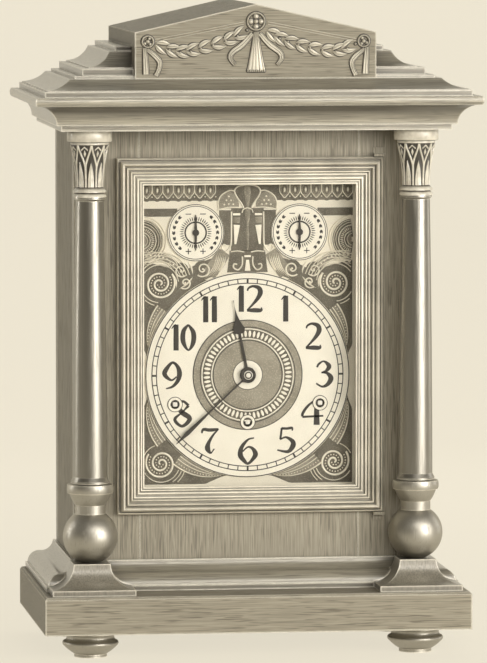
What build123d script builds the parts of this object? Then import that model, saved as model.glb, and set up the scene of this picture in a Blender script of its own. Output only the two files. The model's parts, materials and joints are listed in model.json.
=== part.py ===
"""Temple-front chiming mantel clock: wooden case, glazed front door, dial and three-train movement.

Millimetres, +Z up. The front faces -Y and the origin lies under the middle of the clock, on the
surface that it stands on. Sketches of the front are drawn in X and Z as seen from the front.
"""
import math
import os

from build123d import *

# Case
cornice_width = 314.0
overall_depth = 200.0
foot_height = 19.0
foot_diameter = 43.0
foot_disc_height = 2.4
foot_neck_diameter = 33.6
foot_bun_diameter = 39.6
foot_bun_rise = 9.8
foot_nose = 1.6
foot_sole_diameter = 23.0
foot_sole_height = 2.2
foot_inset = 41.5
foot_tenon_diameter = 12.0
foot_tenon_length = 10.0
slab_height = 26.5
slab_inset = 6.5
wall_height = 324.5
case_inset = 32.5
wall_thickness = 10.0
panel_setback = 64.0
back_setback = 6.0
back_thickness = 12.0
moulding_height = 19.8
moulding_projection = 22.0

# Columns
column_inset = 41.5
plinth_width = 58.5
plinth_top_width = 26.0
plinth_height = 21.0
plinth_fillet = 4.2
ball_diameter = 38.5
collar_diameter = 32.0
column_base_height = 56.0
capital_height = 46.6
shaft_bottom_diameter = 24.0
shaft_top_diameter = 19.5
necking_height = 7.0
abacus_height = 8.1
leaf_count = 8

# Roof
cornice_height = 28.0
lower_step_height = 15.0
upper_step_height = 15.0
pediment_width = 170.0
pediment_inset = 28.0
pediment_board = 20.0
cove_height = 8.0
upper_cove = 11.5
step_lip = 0.8
lower_lip_run = 2.0
lower_cove_run = 19.0
lower_ledge_run = 23.0
lower_riser_run = 29.0
ledge_height = 2.0
upper_lip_run = 34.0
upper_cove_run = 50.0
upper_riser_run = 55.0
cornice_fillet = 4.0
cornice_drop = 10.0
eaves_rise = 10.5
apex_rise = 19.5
relief_depth = 4.0

# Glazed front door
bezel_width = 189.0
bezel_height = 251.6
bezel_share_below = 0.716
rail_width = 19.25
bezel_thickness = 12.0
rebate_width = 4.25
rebate_depth = 4.0
glass_thickness = 2.0
pivot_offset = 2.3
pivot_pin_radius = 1.0
pivot_pin_length = 6.0
panel_reveal = 2.75

# Back door
back_opening_width = 191.0
back_rail = 34.5
back_door_thickness = 11.0
hinge_knuckle_radius = 2.0
hinge_length = 36.0
hinge_leaf = 15.0
hinge_leaf_thickness = 1.2
knob_diameter = 11.0

# Dial
dial_rise = 96.9
dial_plate_thickness = 2.0
dial_margin = 9.0
chapter_radius = 73.0
centre_radius = 39.2
ring_thickness = 1.0
small_dial_radius = 20.3
small_dial_x = 37.0
small_dial_rise = 101.1
hour_hand_length = 54.0
minute_hand_length = 70.7
hour_hand_angle = 348.9
minute_hand_angle = 226.6
hand_thickness = 0.7

# Movement
dial_gap = 12.0
plate_thickness = 2.5
plate_gap = 43.5
plate_width = 164.0
seat_gap = 2.0
plate_above = 76.0
seat_board_thickness = 14.0
side_arbor_x = 51.8
side_arbor_drop = 20.5
time_arbor_drop = 33.6
barrel_radius = 21.0
barrel_length = 23.0
winding_square = 3.4
winding_hole_radius = 4.0
arbor_radius = 1.5
fine_arbor_radius = 0.95
pivot_radius = 0.6
barrel_arbor_radius = 3.0
great_teeth = 48
great_module = 1.0
pinion_leaves = 8
intermediate_teeth = 48
centre_leaves = 12
intermediate_module = 0.75
train_teeth = 80
centre_module = 0.45
third_module = 0.4
third_bearing = 125.0
escape_teeth = 48
escape_radius = 14.0
pin_wheel_teeth = 40
pin_wheel_module = 0.6
pin_wheel_shift = 6.0
cannon_teeth = 16
minute_teeth = 48
minute_leaves = 12
hour_teeth = 48
motion_distance = 20.0
motion_bearing = 45.0
bob_radius = 18.0
bob_thickness = 9.0
gong_rod_radius = 1.75
gong_spacing = 24.0
gong_rod_length = 150.0
gong_rod_step = 24.0
gong_block_width = 10.0
gong_block_margin = 12.0
gong_block_height = 16.0
gong_rod_seat = 8.0
hammer_length = 50.0
hammer_inset = 26.0
pendulum_setback = 9.5

# Fits
door_clearance = 0.3
running_fit = 0.05
seat_fit = 0.02
end_shake = 0.2
ring_gap = 0.5
gravity = 9810.0

# Places worked out from the sizes above
half_width = cornice_width / 2
front_y = -overall_depth / 2
back_y = overall_depth / 2
slab_top = foot_height + slab_height
soffit_z = slab_top + wall_height
panel_front = front_y + panel_setback
panel_back = panel_front + wall_thickness
wall_back = back_y - back_setback - back_thickness
frame_back = back_y - back_setback
case_half = half_width - case_inset
inner_half = case_half - wall_thickness
column_x = half_width - column_inset
column_y = front_y + column_inset
bezel_half = bezel_width / 2
bezel_bottom_z = slab_top + bezel_share_below * (wall_height - bezel_height)
bezel_top_z = bezel_bottom_z + bezel_height
bezel_middle_z = bezel_bottom_z + bezel_height / 2
sight_half_width = bezel_half - rail_width
sight_half_height = bezel_height / 2 - rail_width
door_back = panel_front - door_clearance
pivot_x = bezel_half - pivot_offset
pivot_y = door_back - pivot_offset
panel_half = sight_half_width + panel_reveal
panel_half_height = sight_half_height + panel_reveal
dial_centre_z = bezel_bottom_z + dial_rise
dial_front = panel_back
dial_back = dial_front + dial_plate_thickness
ring_front = dial_front - ring_thickness
front_plate_y = dial_back + dial_gap
train_front = front_plate_y + plate_thickness
train_back = train_front + plate_gap
back_plate_y = train_back + plate_thickness
plate_below = time_arbor_drop + great_module * (great_teeth / 2 + 1) + seat_gap
seat_top = dial_centre_z - plate_below


def box(x0, x1, y0, y1, z0, z1):
    """Block between two corners."""
    middle = Pos((x0 + x1) / 2, (y0 + y1) / 2, (z0 + z1) / 2)
    return middle * Box(x1 - x0, y1 - y0, z1 - z0)


def outline(*steps):
    """Closed outline: a point is a straight run to it, a pair of points an arc through one to the other."""
    edges = []
    here = steps[0]
    for step in steps[1:]:
        if isinstance(step[0], tuple):
            edges.append(ThreePointArc(here, step[0], step[1]))
            here = step[1]
        else:
            edges.append(Line(here, step))
            here = step
    if here != steps[0]:
        edges.append(Line(here, steps[0]))
    return make_face(edges)


def lathe(*steps):
    """Turned piece about Z from an outline in radius and height."""
    return revolve(Plane.XZ * outline(*steps), Axis.Z)


def lathe_y(*steps):
    """Turned piece about Y from an outline in radius and depth."""
    return revolve(outline(*steps), Axis.Y)


def rod_y(radius, y0, y1, x=0.0, z=0.0):
    """Round bar along Y."""
    return Pos(x, 0, z) * lathe_y((0, y0), (radius, y0), (radius, y1), (0, y1))


def cut_y(sketch, y0, y1):
    """Front sketch in X and Z carried from depth y0 back to depth y1."""
    return extrude(Plane.XZ.offset(-y1) * sketch, amount=y1 - y0, dir=(0, -1, 0))


def cut_x(sketch, x0, x1):
    """Side sketch in Y and Z carried from x0 to x1."""
    return extrude(Plane.YZ.offset(x0) * sketch, amount=x1 - x0, dir=(1, 0, 0))


def cut_z(sketch, z0, z1):
    """Plan sketch in X and Y carried from z0 up to z1."""
    return extrude(Plane.XY.offset(z0) * sketch, amount=z1 - z0, dir=(0, 0, 1))


def shifted(steps, place):
    """The same steps with every point passed through place."""
    moved = []
    for step in steps:
        if isinstance(step[0], tuple):
            moved.append((place(step[0]), place(step[1])))
        else:
            moved.append(place(step))
    return moved


def cove(start, end):
    """Hollow arc that leaves start level and climbs to end, as the pair that outline takes."""
    run = end[0] - start[0]
    rise = end[1] - start[1]
    half_turn = math.atan2(rise, run)
    radius = (run**2 + rise**2) / (2 * rise)
    middle = (start[0] + radius * math.sin(half_turn), start[1] + radius * (1 - math.cos(half_turn)))
    return (middle, end)


def moulded_block(steps, base_z, half, front):
    """Block with one moulded edge on its front and both sides, plain at the back.

    The steps give the inset of the edge and its height above base_z, from the bottom up."""
    last = steps[-1][1] if isinstance(steps[-1][0], tuple) else steps[-1]
    top_z = base_z + last[1]
    to_side = shifted(steps, lambda p: (half - p[0], base_z + p[1]))
    to_front = shifted(steps, lambda p: (front + p[0], base_z + p[1]))
    right = outline((0, base_z), *to_side, (0, top_z))
    across = right + mirror(right, about=Plane.YZ)
    along = outline((back_y, base_z), *to_front, (back_y, top_z))
    return cut_y(across, front, back_y) & cut_x(along, -half, half)


def mirrored(shape):
    """The shape and its copy on the other side."""
    return [shape, mirror(shape, about=Plane.YZ)]


def write(name, *shapes):
    """One node: every solid of the shapes in one file."""
    solids = [solid for shape in shapes for solid in shape.solids()]
    export_step(Compound(solids, label=name), f"parts/{name}.step")


os.makedirs("parts", exist_ok=True)

# Feet with a tenon each, and the slab with a hole for each tenon
foot_radius = foot_diameter / 2
tenon_radius = foot_tenon_diameter / 2
sole_radius = foot_sole_diameter / 2
bun_radius = foot_bun_diameter / 2
nose_radius = bun_radius - foot_nose / 2
bun_low = foot_bun_rise - foot_nose
bun_high = foot_bun_rise + foot_nose
disc_low = foot_height - foot_disc_height
foot = lathe(
    (0, 0),
    (sole_radius, 0),
    (sole_radius, foot_sole_height),
    (
        (0.47 * sole_radius + 0.53 * nose_radius, 0.55 * foot_sole_height + 0.45 * bun_low),
        (nose_radius, bun_low),
    ),
    ((bun_radius, foot_bun_rise), (nose_radius, bun_high)),
    ((foot_neck_diameter / 2, (bun_high + disc_low) / 2), (foot_radius - foot_nose / 2, disc_low)),
    (foot_radius, disc_low),
    (foot_radius, foot_height),
    (tenon_radius, foot_height),
    (tenon_radius, foot_height + foot_tenon_length),
    (0, foot_height + foot_tenon_length),
)
foot_x = half_width - foot_inset
foot_places = [
    Pos(x, y, 0)
    for x in (-foot_x, foot_x)
    for y in (front_y + foot_inset, back_y - foot_inset)
]
write("feet", *[place * foot for place in foot_places])

slab_half = half_width - slab_inset
slab_edge = 1.5
slab_front = front_y + slab_inset
slab = moulded_block(
    [(0, 0), (0, slab_height - slab_edge), (slab_edge, slab_height)], foot_height, slab_half, slab_front
)
tenon_hole = Cylinder(
    tenon_radius + seat_fit, foot_tenon_length, align=(Align.CENTER, Align.CENTER, Align.MIN)
)
for place in foot_places:
    slab -= place * Pos(0, 0, foot_height) * tenon_hole
write("base_slab", slab)

# Columns: concave plinth, ball base, tapered shaft and bell capital
plinth_half = plinth_width / 2
plinth_top_half = plinth_top_width / 2
plinth_edge = [
    (plinth_half, 0),
    (plinth_half, plinth_fillet),
    (
        (0.33 * plinth_half + 0.67 * plinth_top_half, 0.42 * plinth_height),
        (plinth_top_half, plinth_height),
    ),
]
plinth_side = outline((0, 0), *plinth_edge, (0, plinth_height))
plinth_face = plinth_side + mirror(plinth_side, about=Plane.YZ)
plinth = cut_y(plinth_face, -plinth_half, plinth_half) & cut_x(plinth_face, -plinth_half, plinth_half)
plinth = Pos(column_x, column_y, slab_top) * plinth
plinth &= box(0, half_width, front_y, panel_front, slab_top, soffit_z)
plinths = mirrored(plinth)
write("column_plinths", *plinths)

base_z = slab_top + plinth_height
ball_radius = ball_diameter / 2
collar_radius = collar_diameter / 2
collar_height = 7.0
cup_height = 8.5
ball_flat = 1.05
neck_radius = 0.55 * ball_radius
collar_z = column_base_height - collar_height
cup_z = collar_z - cup_height
ball_rise = ball_radius - ball_flat
ball_foot = math.sqrt(ball_radius**2 - ball_rise**2)
neck_z = ball_rise + math.sqrt(ball_radius**2 - neck_radius**2)
column_base = lathe(
    (0, 0),
    (ball_foot, 0),
    ((ball_radius, ball_rise), (neck_radius, neck_z)),
    (neck_radius, cup_z),
    ((0.78 * collar_radius, cup_z + 0.35 * cup_height), (0.92 * collar_radius, collar_z)),
    (collar_radius, collar_z),
    (
        (1.03 * collar_radius, collar_z + collar_height / 2),
        (collar_radius, column_base_height - 1),
    ),
    (0.8 * collar_radius, column_base_height),
    (0, column_base_height),
)
write("column_bases", *mirrored(Pos(column_x, column_y, base_z) * column_base))

shaft_z = base_z + column_base_height
shaft_length = wall_height - plinth_height - column_base_height - capital_height
shaft_bottom = shaft_bottom_diameter / 2
shaft_top = shaft_top_diameter / 2
shaft_flare = 1.4
shaft_bow = 0.4
shaft = lathe(
    (0, 0),
    (shaft_bottom + shaft_flare, 0),
    (shaft_bottom + shaft_flare, shaft_flare),
    (shaft_bottom, 3 * shaft_flare),
    (
        ((shaft_bottom + shaft_top) / 2 + shaft_bow, shaft_length / 2),
        (shaft_top, shaft_length - 2 * shaft_flare),
    ),
    (shaft_top + shaft_flare, shaft_length - shaft_flare),
    (shaft_top + shaft_flare, shaft_length),
    (0, shaft_length),
)
write("column_shafts", *mirrored(Pos(column_x, column_y, shaft_z) * shaft))

capital_z = shaft_z + shaft_length
neck_ring = shaft_top + 2.2
ring_height = 2.1
bell_z = necking_height
bell_top = capital_height - abacus_height - ring_height
bell_low = shaft_top - 0.75
bell_wide = 0.78 * collar_radius
abacus_z = capital_height - abacus_height
capital = lathe(
    (0, 0),
    (neck_ring, 0),
    ((neck_ring + 0.6, necking_height / 4), (neck_ring, necking_height / 2)),
    ((neck_ring + 0.6, 0.75 * necking_height), (neck_ring, bell_z)),
    (bell_low, bell_z),
    ((bell_low + 0.35 * (bell_wide - bell_low), 0.5 * (bell_z + bell_top)), (bell_wide, bell_top)),
    (0.86 * collar_radius, bell_top),
    (0.86 * collar_radius, abacus_z),
    (collar_radius, abacus_z),
    (collar_radius, capital_height),
    (0, capital_height),
)
# Pointed leaves stand a little proud of the bell, with their tips under the ring
leaf_proud = 1.2
leaf_height = bell_top - bell_z
leaf_half = math.pi * bell_low / leaf_count
leaf_face = outline(
    (-0.55 * leaf_half, bell_z),
    (0.55 * leaf_half, bell_z),
    ((0.95 * leaf_half, bell_z + 0.5 * leaf_height), (0, bell_top)),
    ((-0.95 * leaf_half, bell_z + 0.5 * leaf_height), (-0.55 * leaf_half, bell_z)),
)
leaf_shell = lathe(
    (bell_low - leaf_proud, bell_z),
    (bell_low + leaf_proud, bell_z),
    (
        (bell_low + 0.35 * (bell_wide - bell_low) + leaf_proud, 0.5 * (bell_z + bell_top)),
        (bell_wide + leaf_proud, bell_top),
    ),
    (bell_wide - leaf_proud, bell_top),
)
leaf = cut_y(leaf_face, -2 * collar_radius, 0) & leaf_shell
for turn in range(leaf_count):
    capital += Rot(0, 0, turn * 360 / leaf_count) * leaf
write("column_capitals", *mirrored(Pos(column_x, column_y, capital_z) * capital))

# Base moulding round the case on three sides, scribed round the plinths
ogee_fillet = 3.8
ogee = [
    (0, 0),
    (0, ogee_fillet),
    (1.5, ogee_fillet),
    (
        (0.17 * moulding_projection, 0.46 * moulding_height),
        (0.48 * moulding_projection, 0.6 * moulding_height),
    ),
    (
        (0.8 * moulding_projection, 0.72 * moulding_height),
        (0.91 * moulding_projection, moulding_height),
    ),
]
moulding_half = case_half + moulding_projection
moulding_front = panel_front - moulding_projection
moulding = moulded_block(ogee, slab_top, moulding_half, moulding_front)
moulding -= box(-case_half, case_half, panel_front, back_y, slab_top, soffit_z)
for plinth_solid in plinths:
    moulding -= plinth_solid
front_run = moulding & box(-column_x, column_x, front_y, back_y, slab_top, soffit_z)
side_run = moulding & box(column_x, half_width, front_y, back_y, slab_top, soffit_z)
write("base_moulding", front_run, *mirrored(side_run))

# Walls: two sides and a front panel of two stiles and two rails
side = box(inner_half, case_half, panel_back, wall_back, slab_top, soffit_z)
write("right_side", side)
write("left_side", mirror(side, about=Plane.YZ))
panel_low_z = bezel_middle_z - panel_half_height
panel_high_z = bezel_middle_z + panel_half_height
stile = box(panel_half, case_half, panel_front, panel_back, slab_top, soffit_z)
low_rail = box(-panel_half, panel_half, panel_front, panel_back, slab_top, panel_low_z)
high_rail = box(-panel_half, panel_half, panel_front, panel_back, panel_high_z, soffit_z)
write("front_panel", *mirrored(stile), low_rail, high_rail)
seat_back = back_plate_y + 1.5
seat_front = dial_back + 4.0
seat_low = seat_top - seat_board_thickness
write("seat_board", box(-inner_half, inner_half, seat_front, seat_back, seat_low, seat_top))

# Back: frame, panelled door, butt hinges and a turned knob
opening_half = back_opening_width / 2
back_low_z = slab_top + back_rail
back_high_z = soffit_z - back_rail
back_stile = box(opening_half, case_half, wall_back, frame_back, slab_top, soffit_z)
back_low = box(-opening_half, opening_half, wall_back, frame_back, slab_top, back_low_z)
back_high = box(-opening_half, opening_half, wall_back, frame_back, back_high_z, soffit_z)
write("back_frame", *mirrored(back_stile), back_low, back_high)
door_gap = 0.5
door_half = opening_half - door_gap
back_door_back = frame_back - door_gap
back_door = box(
    -door_half,
    door_half,
    back_door_back - back_door_thickness,
    back_door_back,
    back_low_z + door_gap,
    back_high_z - door_gap,
)
panel_margin = 24.0
panel_sunk = 3.0
back_door -= box(
    panel_margin - door_half,
    door_half - panel_margin,
    back_door_back - panel_sunk,
    back_door_back,
    back_low_z + panel_margin,
    back_high_z - panel_margin,
)
write("back_door", back_door)
hinge_y = frame_back + hinge_knuckle_radius + door_clearance
hinge_x = opening_half
hinge_pin = 0.5 * hinge_knuckle_radius
hinge_zs = [back_low_z + 1.5 * hinge_length, back_high_z - 1.5 * hinge_length]
fixed_hinges = []
moving_leaves = []
for z in hinge_zs:
    knuckle = Pos(hinge_x, hinge_y, z - hinge_length / 4) * Cylinder(hinge_knuckle_radius, hinge_length / 2)
    pin = Pos(hinge_x, hinge_y, z) * Cylinder(hinge_pin, hinge_length)
    fixed_leaf = box(
        hinge_x + door_clearance,
        hinge_x + hinge_leaf,
        frame_back,
        frame_back + hinge_leaf_thickness,
        z - hinge_length / 2,
        z,
    )
    fixed_hinges.append(knuckle + pin + fixed_leaf)
    upper = Pos(hinge_x, hinge_y, z + hinge_length / 4) * Cylinder(
        hinge_knuckle_radius, hinge_length / 2 - 2 * end_shake
    )
    wing = box(
        hinge_x - hinge_leaf,
        hinge_x - door_clearance,
        back_door_back,
        back_door_back + hinge_leaf_thickness,
        z + end_shake,
        z + hinge_length / 2 - end_shake,
    )
    bore = Pos(hinge_x, hinge_y, z) * Cylinder(hinge_pin + running_fit, 2 * hinge_length)
    moving_leaves.append(upper + wing - bore)
write("back_hinges", *fixed_hinges)
write("back_hinge_leaves", *moving_leaves)
knob_radius = knob_diameter / 2
knob_length = back_y - back_door_back
knob = lathe_y(
    (0, 0),
    (0.5 * knob_radius, 0),
    (0.5 * knob_radius, 0.3 * knob_length),
    (knob_radius, 0.5 * knob_length),
    ((0.95 * knob_radius, 0.82 * knob_length), (0.6 * knob_radius, knob_length)),
    (0, knob_length),
)
write("back_knob", Pos(panel_margin / 2 - door_half, back_door_back, bezel_middle_z) * knob)

# Roof: cornice, two stepped layers and the pediment block
soffit_inset = 19.5
tip_radius = 3.0
tip_z = cornice_height - cornice_drop
riser_inset = 7.0
cornice = moulded_block(
    [
        (soffit_inset, 0),
        (soffit_inset, cornice_fillet),
        (soffit_inset - 3.5, cornice_fillet),
        ((0.62 * soffit_inset, 0.76 * tip_z), (3.0, tip_z)),
        (1.0, tip_z),
        ((0, tip_z + tip_radius), (1.0, tip_z + 2 * tip_radius)),
        (riser_inset, tip_z + 2 * tip_radius),
        (riser_inset, cornice_height),
    ],
    soffit_z,
    half_width,
    front_y,
)
write("cornice", cornice)
lower_z = soffit_z + cornice_height
upper_z = lower_z + lower_step_height
roof_z = upper_z + upper_step_height
lower_lip = (riser_inset + lower_lip_run, step_lip)
upper_lip = (riser_inset + upper_lip_run, step_lip)
lower_step = moulded_block(
    [
        (lower_lip[0], 0),
        lower_lip,
        cove(lower_lip, (riser_inset + lower_cove_run, cove_height)),
        (riser_inset + lower_ledge_run, cove_height),
        (riser_inset + lower_ledge_run, cove_height + ledge_height),
        (riser_inset + lower_riser_run, cove_height + ledge_height),
        (riser_inset + lower_riser_run, lower_step_height),
    ],
    lower_z,
    half_width,
    front_y,
)
upper_step = moulded_block(
    [
        (upper_lip[0], 0),
        upper_lip,
        cove(upper_lip, (riser_inset + upper_cove_run, upper_cove)),
        (riser_inset + upper_riser_run, upper_cove),
        (riser_inset + upper_riser_run, upper_step_height),
    ],
    upper_z,
    half_width,
    front_y,
)
pediment_half = pediment_width / 2
pediment_y = front_y + pediment_inset
board_z = lower_z + cove_height
eaves_z = roof_z + eaves_rise
apex_z = eaves_z + apex_rise
board = box(-pediment_half, pediment_half, pediment_y, pediment_y + pediment_board, board_z, roof_z)
notch = box(-pediment_half, pediment_half, front_y, pediment_y + pediment_board, board_z, roof_z)
gable = Polygon(
    (-pediment_half, roof_z),
    (pediment_half, roof_z),
    (pediment_half, eaves_z),
    (0, apex_z),
    (-pediment_half, eaves_z),
)
pediment = board + cut_y(gable, pediment_y, back_y)
write("lower_roof_step", lower_step - notch)
write("upper_roof_step", upper_step - notch)
write("pediment_block", pediment)

# Applied ornament on the pediment: rosette, two swags, bows and ribbons
rosette_z = board_z + 0.77 * (apex_z - board_z)
rosette_radius = 6.7
bow_x = 0.9 * pediment_half
bow_z = board_z + 0.5 * (apex_z - board_z)
swag_radius = 2.2
swag_end = (rosette_radius + 0.5, rosette_z - 3)
swag_dip = (0.58 * pediment_half, board_z + 0.33 * (apex_z - board_z))
swag_y = pediment_y - 1.2
swag_path = Plane.XZ.offset(-swag_y) * ThreePointArc(swag_end, swag_dip, (bow_x - 3, bow_z + 1))
swag_start = Plane(origin=swag_path @ 0, z_dir=swag_path % 0)
swag = sweep(swag_start * Circle(swag_radius), path=swag_path)
ribbon_low = board_z + 4.0
ribbon = Polygon(
    (-2.0, rosette_z),
    (2.0, rosette_z),
    (6.5, ribbon_low + 1),
    (0, ribbon_low),
    (-6.5, ribbon_low + 1),
)
tail = Polygon(
    (bow_x - 1.5, bow_z),
    (bow_x + 1.5, bow_z),
    (bow_x + 3.5, ribbon_low - 2),
    (bow_x - 1.0, ribbon_low - 3),
)
rosette = Pos(0, 0, rosette_z) * lathe_y(
    (0, pediment_y),
    (rosette_radius, pediment_y),
    (rosette_radius, pediment_y - 0.5 * relief_depth),
    (0.75 * rosette_radius, pediment_y - 0.7 * relief_depth),
    (0.3 * rosette_radius, pediment_y - relief_depth),
    (0, pediment_y - relief_depth),
)
bow = rod_y(4.5, pediment_y - 0.6 * relief_depth, pediment_y, bow_x, bow_z)
drape = rosette + cut_y(ribbon, pediment_y - 0.4 * relief_depth, pediment_y)
side_drape = bow + swag + cut_y(tail, pediment_y - 0.4 * relief_depth, pediment_y)
side_drape -= box(-half_width, half_width, pediment_y, back_y, slab_top, apex_z)
drape += mirrored(side_drape)
write("pediment_swag", drape)

# Glazed door: four mitred rails, glass, stops, and the pivots that carry it on the right
rail_steps = [
    (0, pivot_offset),
    (0, 5.5),
    (1.6, 5.5),
    (1.6, 4.5),
    (2.8, 4.5),
    (2.8, bezel_thickness - 3),
    ((5.8, bezel_thickness), (8.8, bezel_thickness - 3)),
    (8.8, 7.2),
    (9.8, 7.2),
    ((10.8, 8.8), (11.8, 7.2)),
    ((13.4, 5.9), (rail_width - 3.25, 5.6)),
    ((rail_width - 2.5, 6.6), (rail_width - 1.75, 5.6)),
    (rail_width, rebate_depth + 0.8),
    (rail_width, rebate_depth),
    (rail_width - rebate_width, rebate_depth),
    (rail_width - rebate_width, 0),
    (pivot_offset, 0),
    ((0.29 * pivot_offset, 0.29 * pivot_offset), (0, pivot_offset)),
]
stile_plan = outline(*shifted(rail_steps, lambda p: (bezel_half - p[0], door_back - p[1])))
rail_side = outline(*shifted(rail_steps, lambda p: (door_back - p[1], bezel_top_z - p[0])))
stile_mitre = Polygon(
    (bezel_half, bezel_bottom_z),
    (bezel_half, bezel_top_z),
    (sight_half_width, bezel_top_z - rail_width),
    (sight_half_width, bezel_bottom_z + rail_width),
)
rail_mitre = Polygon(
    (-bezel_half, bezel_top_z),
    (bezel_half, bezel_top_z),
    (sight_half_width, bezel_top_z - rail_width),
    (-sight_half_width, bezel_top_z - rail_width),
)
door_stile = cut_z(stile_plan, bezel_bottom_z, bezel_top_z) & cut_y(stile_mitre, front_y, panel_front)
door_rail = cut_x(rail_side, -bezel_half, bezel_half) & cut_y(rail_mitre, front_y, panel_front)
middle_plane = Plane.XY.offset(bezel_middle_z)
pin_bore = Pos(pivot_x, pivot_y, bezel_middle_z) * (
    Cylinder(pivot_pin_radius + running_fit, bezel_height + 1)
    - Cylinder(2 * pivot_pin_radius, bezel_height - 2 * pivot_pin_length - 1)
)
door_rails = [door_stile, mirror(door_stile, about=Plane.YZ), door_rail, mirror(door_rail, about=middle_plane)]
write("bezel_frame", *[rail - pin_bore for rail in door_rails])
glass_half = sight_half_width + rebate_width - seat_fit
glass_half_height = sight_half_height + rebate_width - seat_fit
glass_front = door_back - rebate_depth
glass_back = glass_front + glass_thickness
glass_low = bezel_middle_z - glass_half_height
glass_high = bezel_middle_z + glass_half_height
write("bezel_glass", box(-glass_half, glass_half, glass_front, glass_back, glass_low, glass_high))
stop_width = rebate_width - 0.5
stop_rail = box(-glass_half, glass_half, glass_back, door_back, glass_high - stop_width, glass_high)
stop_stile = box(
    glass_half - stop_width,
    glass_half,
    glass_back,
    door_back,
    glass_low + stop_width,
    glass_high - stop_width,
)
write("glass_stops", *mirrored(stop_stile), stop_rail, mirror(stop_rail, about=middle_plane))
bracket_half = 4.0
bracket_thickness = 2.0
bracket_z = bezel_top_z + door_clearance
bracket = box(
    pivot_x - bracket_half,
    pivot_x + bracket_half,
    pivot_y - bracket_half,
    panel_front,
    bracket_z,
    bracket_z + bracket_thickness,
)
bracket += box(
    pivot_x - bracket_half,
    pivot_x + bracket_half,
    panel_front - 1.2,
    panel_front,
    bracket_z,
    bracket_z + 3 * bracket_thickness,
)
pin_low = bezel_top_z - pivot_pin_length + end_shake
bracket += Pos(pivot_x, pivot_y, (pin_low + bracket_z) / 2) * Cylinder(pivot_pin_radius, bracket_z - pin_low)
write("bezel_pivots", bracket, mirror(bracket, about=middle_plane))

# Places in the movement, as X and Z from the dial's centre
centre_at = (0.0, 0.0)
time_at = (0.0, -time_arbor_drop)
strike_at = (-side_arbor_x, -side_arbor_drop)
chime_at = (side_arbor_x, -side_arbor_drop)
great_distance = great_module * (great_teeth + pinion_leaves) / 2
intermediate_distance = intermediate_module * (intermediate_teeth + centre_leaves) / 2
third_distance = centre_module * (train_teeth + pinion_leaves) / 2
escape_distance = third_module * (train_teeth + pinion_leaves) / 2


def polar(distance, bearing):
    """Point at a distance and a bearing, in degrees from +X towards +Z."""
    angle = math.radians(bearing)
    return (distance * math.cos(angle), distance * math.sin(angle))


def bearing(start, end):
    """Direction from one point to another, in degrees from +X towards +Z."""
    return math.degrees(math.atan2(end[1] - start[1], end[0] - start[0]))


intermediate_drop = (time_arbor_drop**2 + intermediate_distance**2 - great_distance**2) / (2 * time_arbor_drop)
intermediate_at = (math.sqrt(intermediate_distance**2 - intermediate_drop**2), -intermediate_drop)
third_at = polar(third_distance, third_bearing)
escape_at = (0.0, third_at[1] + math.sqrt(escape_distance**2 - third_at[0] ** 2))
minute_at = polar(motion_distance, motion_bearing)
pin_wheel_rise = math.sqrt(great_distance**2 - pin_wheel_shift**2)
chime_wheel_at = (chime_at[0] - pin_wheel_shift, chime_at[1] + pin_wheel_rise)
strike_wheel_at = (-chime_wheel_at[0], chime_wheel_at[1])
pallet_span = 9.5 * 180 / escape_teeth
pallet_rise = escape_radius / math.cos(math.radians(pallet_span))
pallet_at = (0.0, escape_at[1] + pallet_rise)


def at(place, shape):
    """Shape moved to a place in the movement."""
    return Pos(place[0], 0, dial_centre_z + place[1]) * shape


# Dial plate with its feet, rings and small dials
plate_half = sight_half_width + dial_margin
dial_low = bezel_middle_z - sight_half_height - dial_margin
dial_high = bezel_middle_z + sight_half_height + dial_margin
hour_pipe_radius = 4.0
pipe_hole = hour_pipe_radius + 0.3
pointer_arbor = 1.2
small_at = (small_dial_x, small_dial_rise)
small_places = [(-small_dial_x, small_dial_rise), small_at]
winding_places = [time_at, strike_at, chime_at]
dial_holes = at(centre_at, rod_y(pipe_hole, front_y, back_y))
for place in winding_places:
    dial_holes += at(place, rod_y(winding_hole_radius, front_y, back_y))
for place in small_places:
    dial_holes += at(place, rod_y(pointer_arbor + running_fit, front_y, back_y))
dial_plate = box(-plate_half, plate_half, dial_front, dial_back, dial_low, dial_high) - dial_holes
foot_out = plate_width / 2 - 8
for x in (-foot_out, foot_out):
    for rise in (plate_above - 14, 10 - plate_below):
        dial_plate += at((x, rise), rod_y(2.0, dial_back, front_plate_y))
write("dial_plate", dial_plate)
centre_front = ring_front - 0.2
chapter_ring = at(centre_at, cut_y(Circle(chapter_radius) - Circle(centre_radius), ring_front, dial_front))
write("chapter_ring", chapter_ring - dial_holes)
centre_disc = at(centre_at, cut_y(Circle(centre_radius - seat_fit), centre_front, dial_front))
write("dial_centre", centre_disc - dial_holes)
small_disc = cut_y(Circle(small_dial_radius), ring_front, dial_front)
write("small_dials", *[at(place, small_disc) - dial_holes for place in small_places])

# Cast ornaments: a band along the top, four corner scrolls and the middle palmette
sight_low = bezel_middle_z - sight_half_height
sight_high = bezel_middle_z + sight_half_height
keep_out = at(centre_at, cut_y(Circle(chapter_radius + ring_gap), front_y, back_y))
for place in small_places:
    keep_out += at(place, cut_y(Circle(small_dial_radius + ring_gap), front_y, back_y))
ornament_front = dial_front - 1.2
band_height = sight_high - dial_centre_z - small_dial_rise - small_dial_radius - 1.0
corner_width = 46.0
corner_high = dial_centre_z + small_dial_rise - 10
band = box(
    -sight_half_width, sight_half_width, ornament_front, dial_front, sight_high - band_height, sight_high
)
low_corner = box(
    sight_half_width - corner_width,
    sight_half_width,
    ornament_front,
    dial_front,
    sight_low,
    sight_low + corner_width,
)
high_corner = box(
    small_dial_x - 22, sight_half_width, ornament_front, dial_front, corner_high - 50, corner_high
)
palmette_low = dial_centre_z + chapter_radius + ring_gap
palmette_high = sight_high - band_height - ring_gap
palmette_half = small_dial_x - small_dial_radius - 1.5
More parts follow.
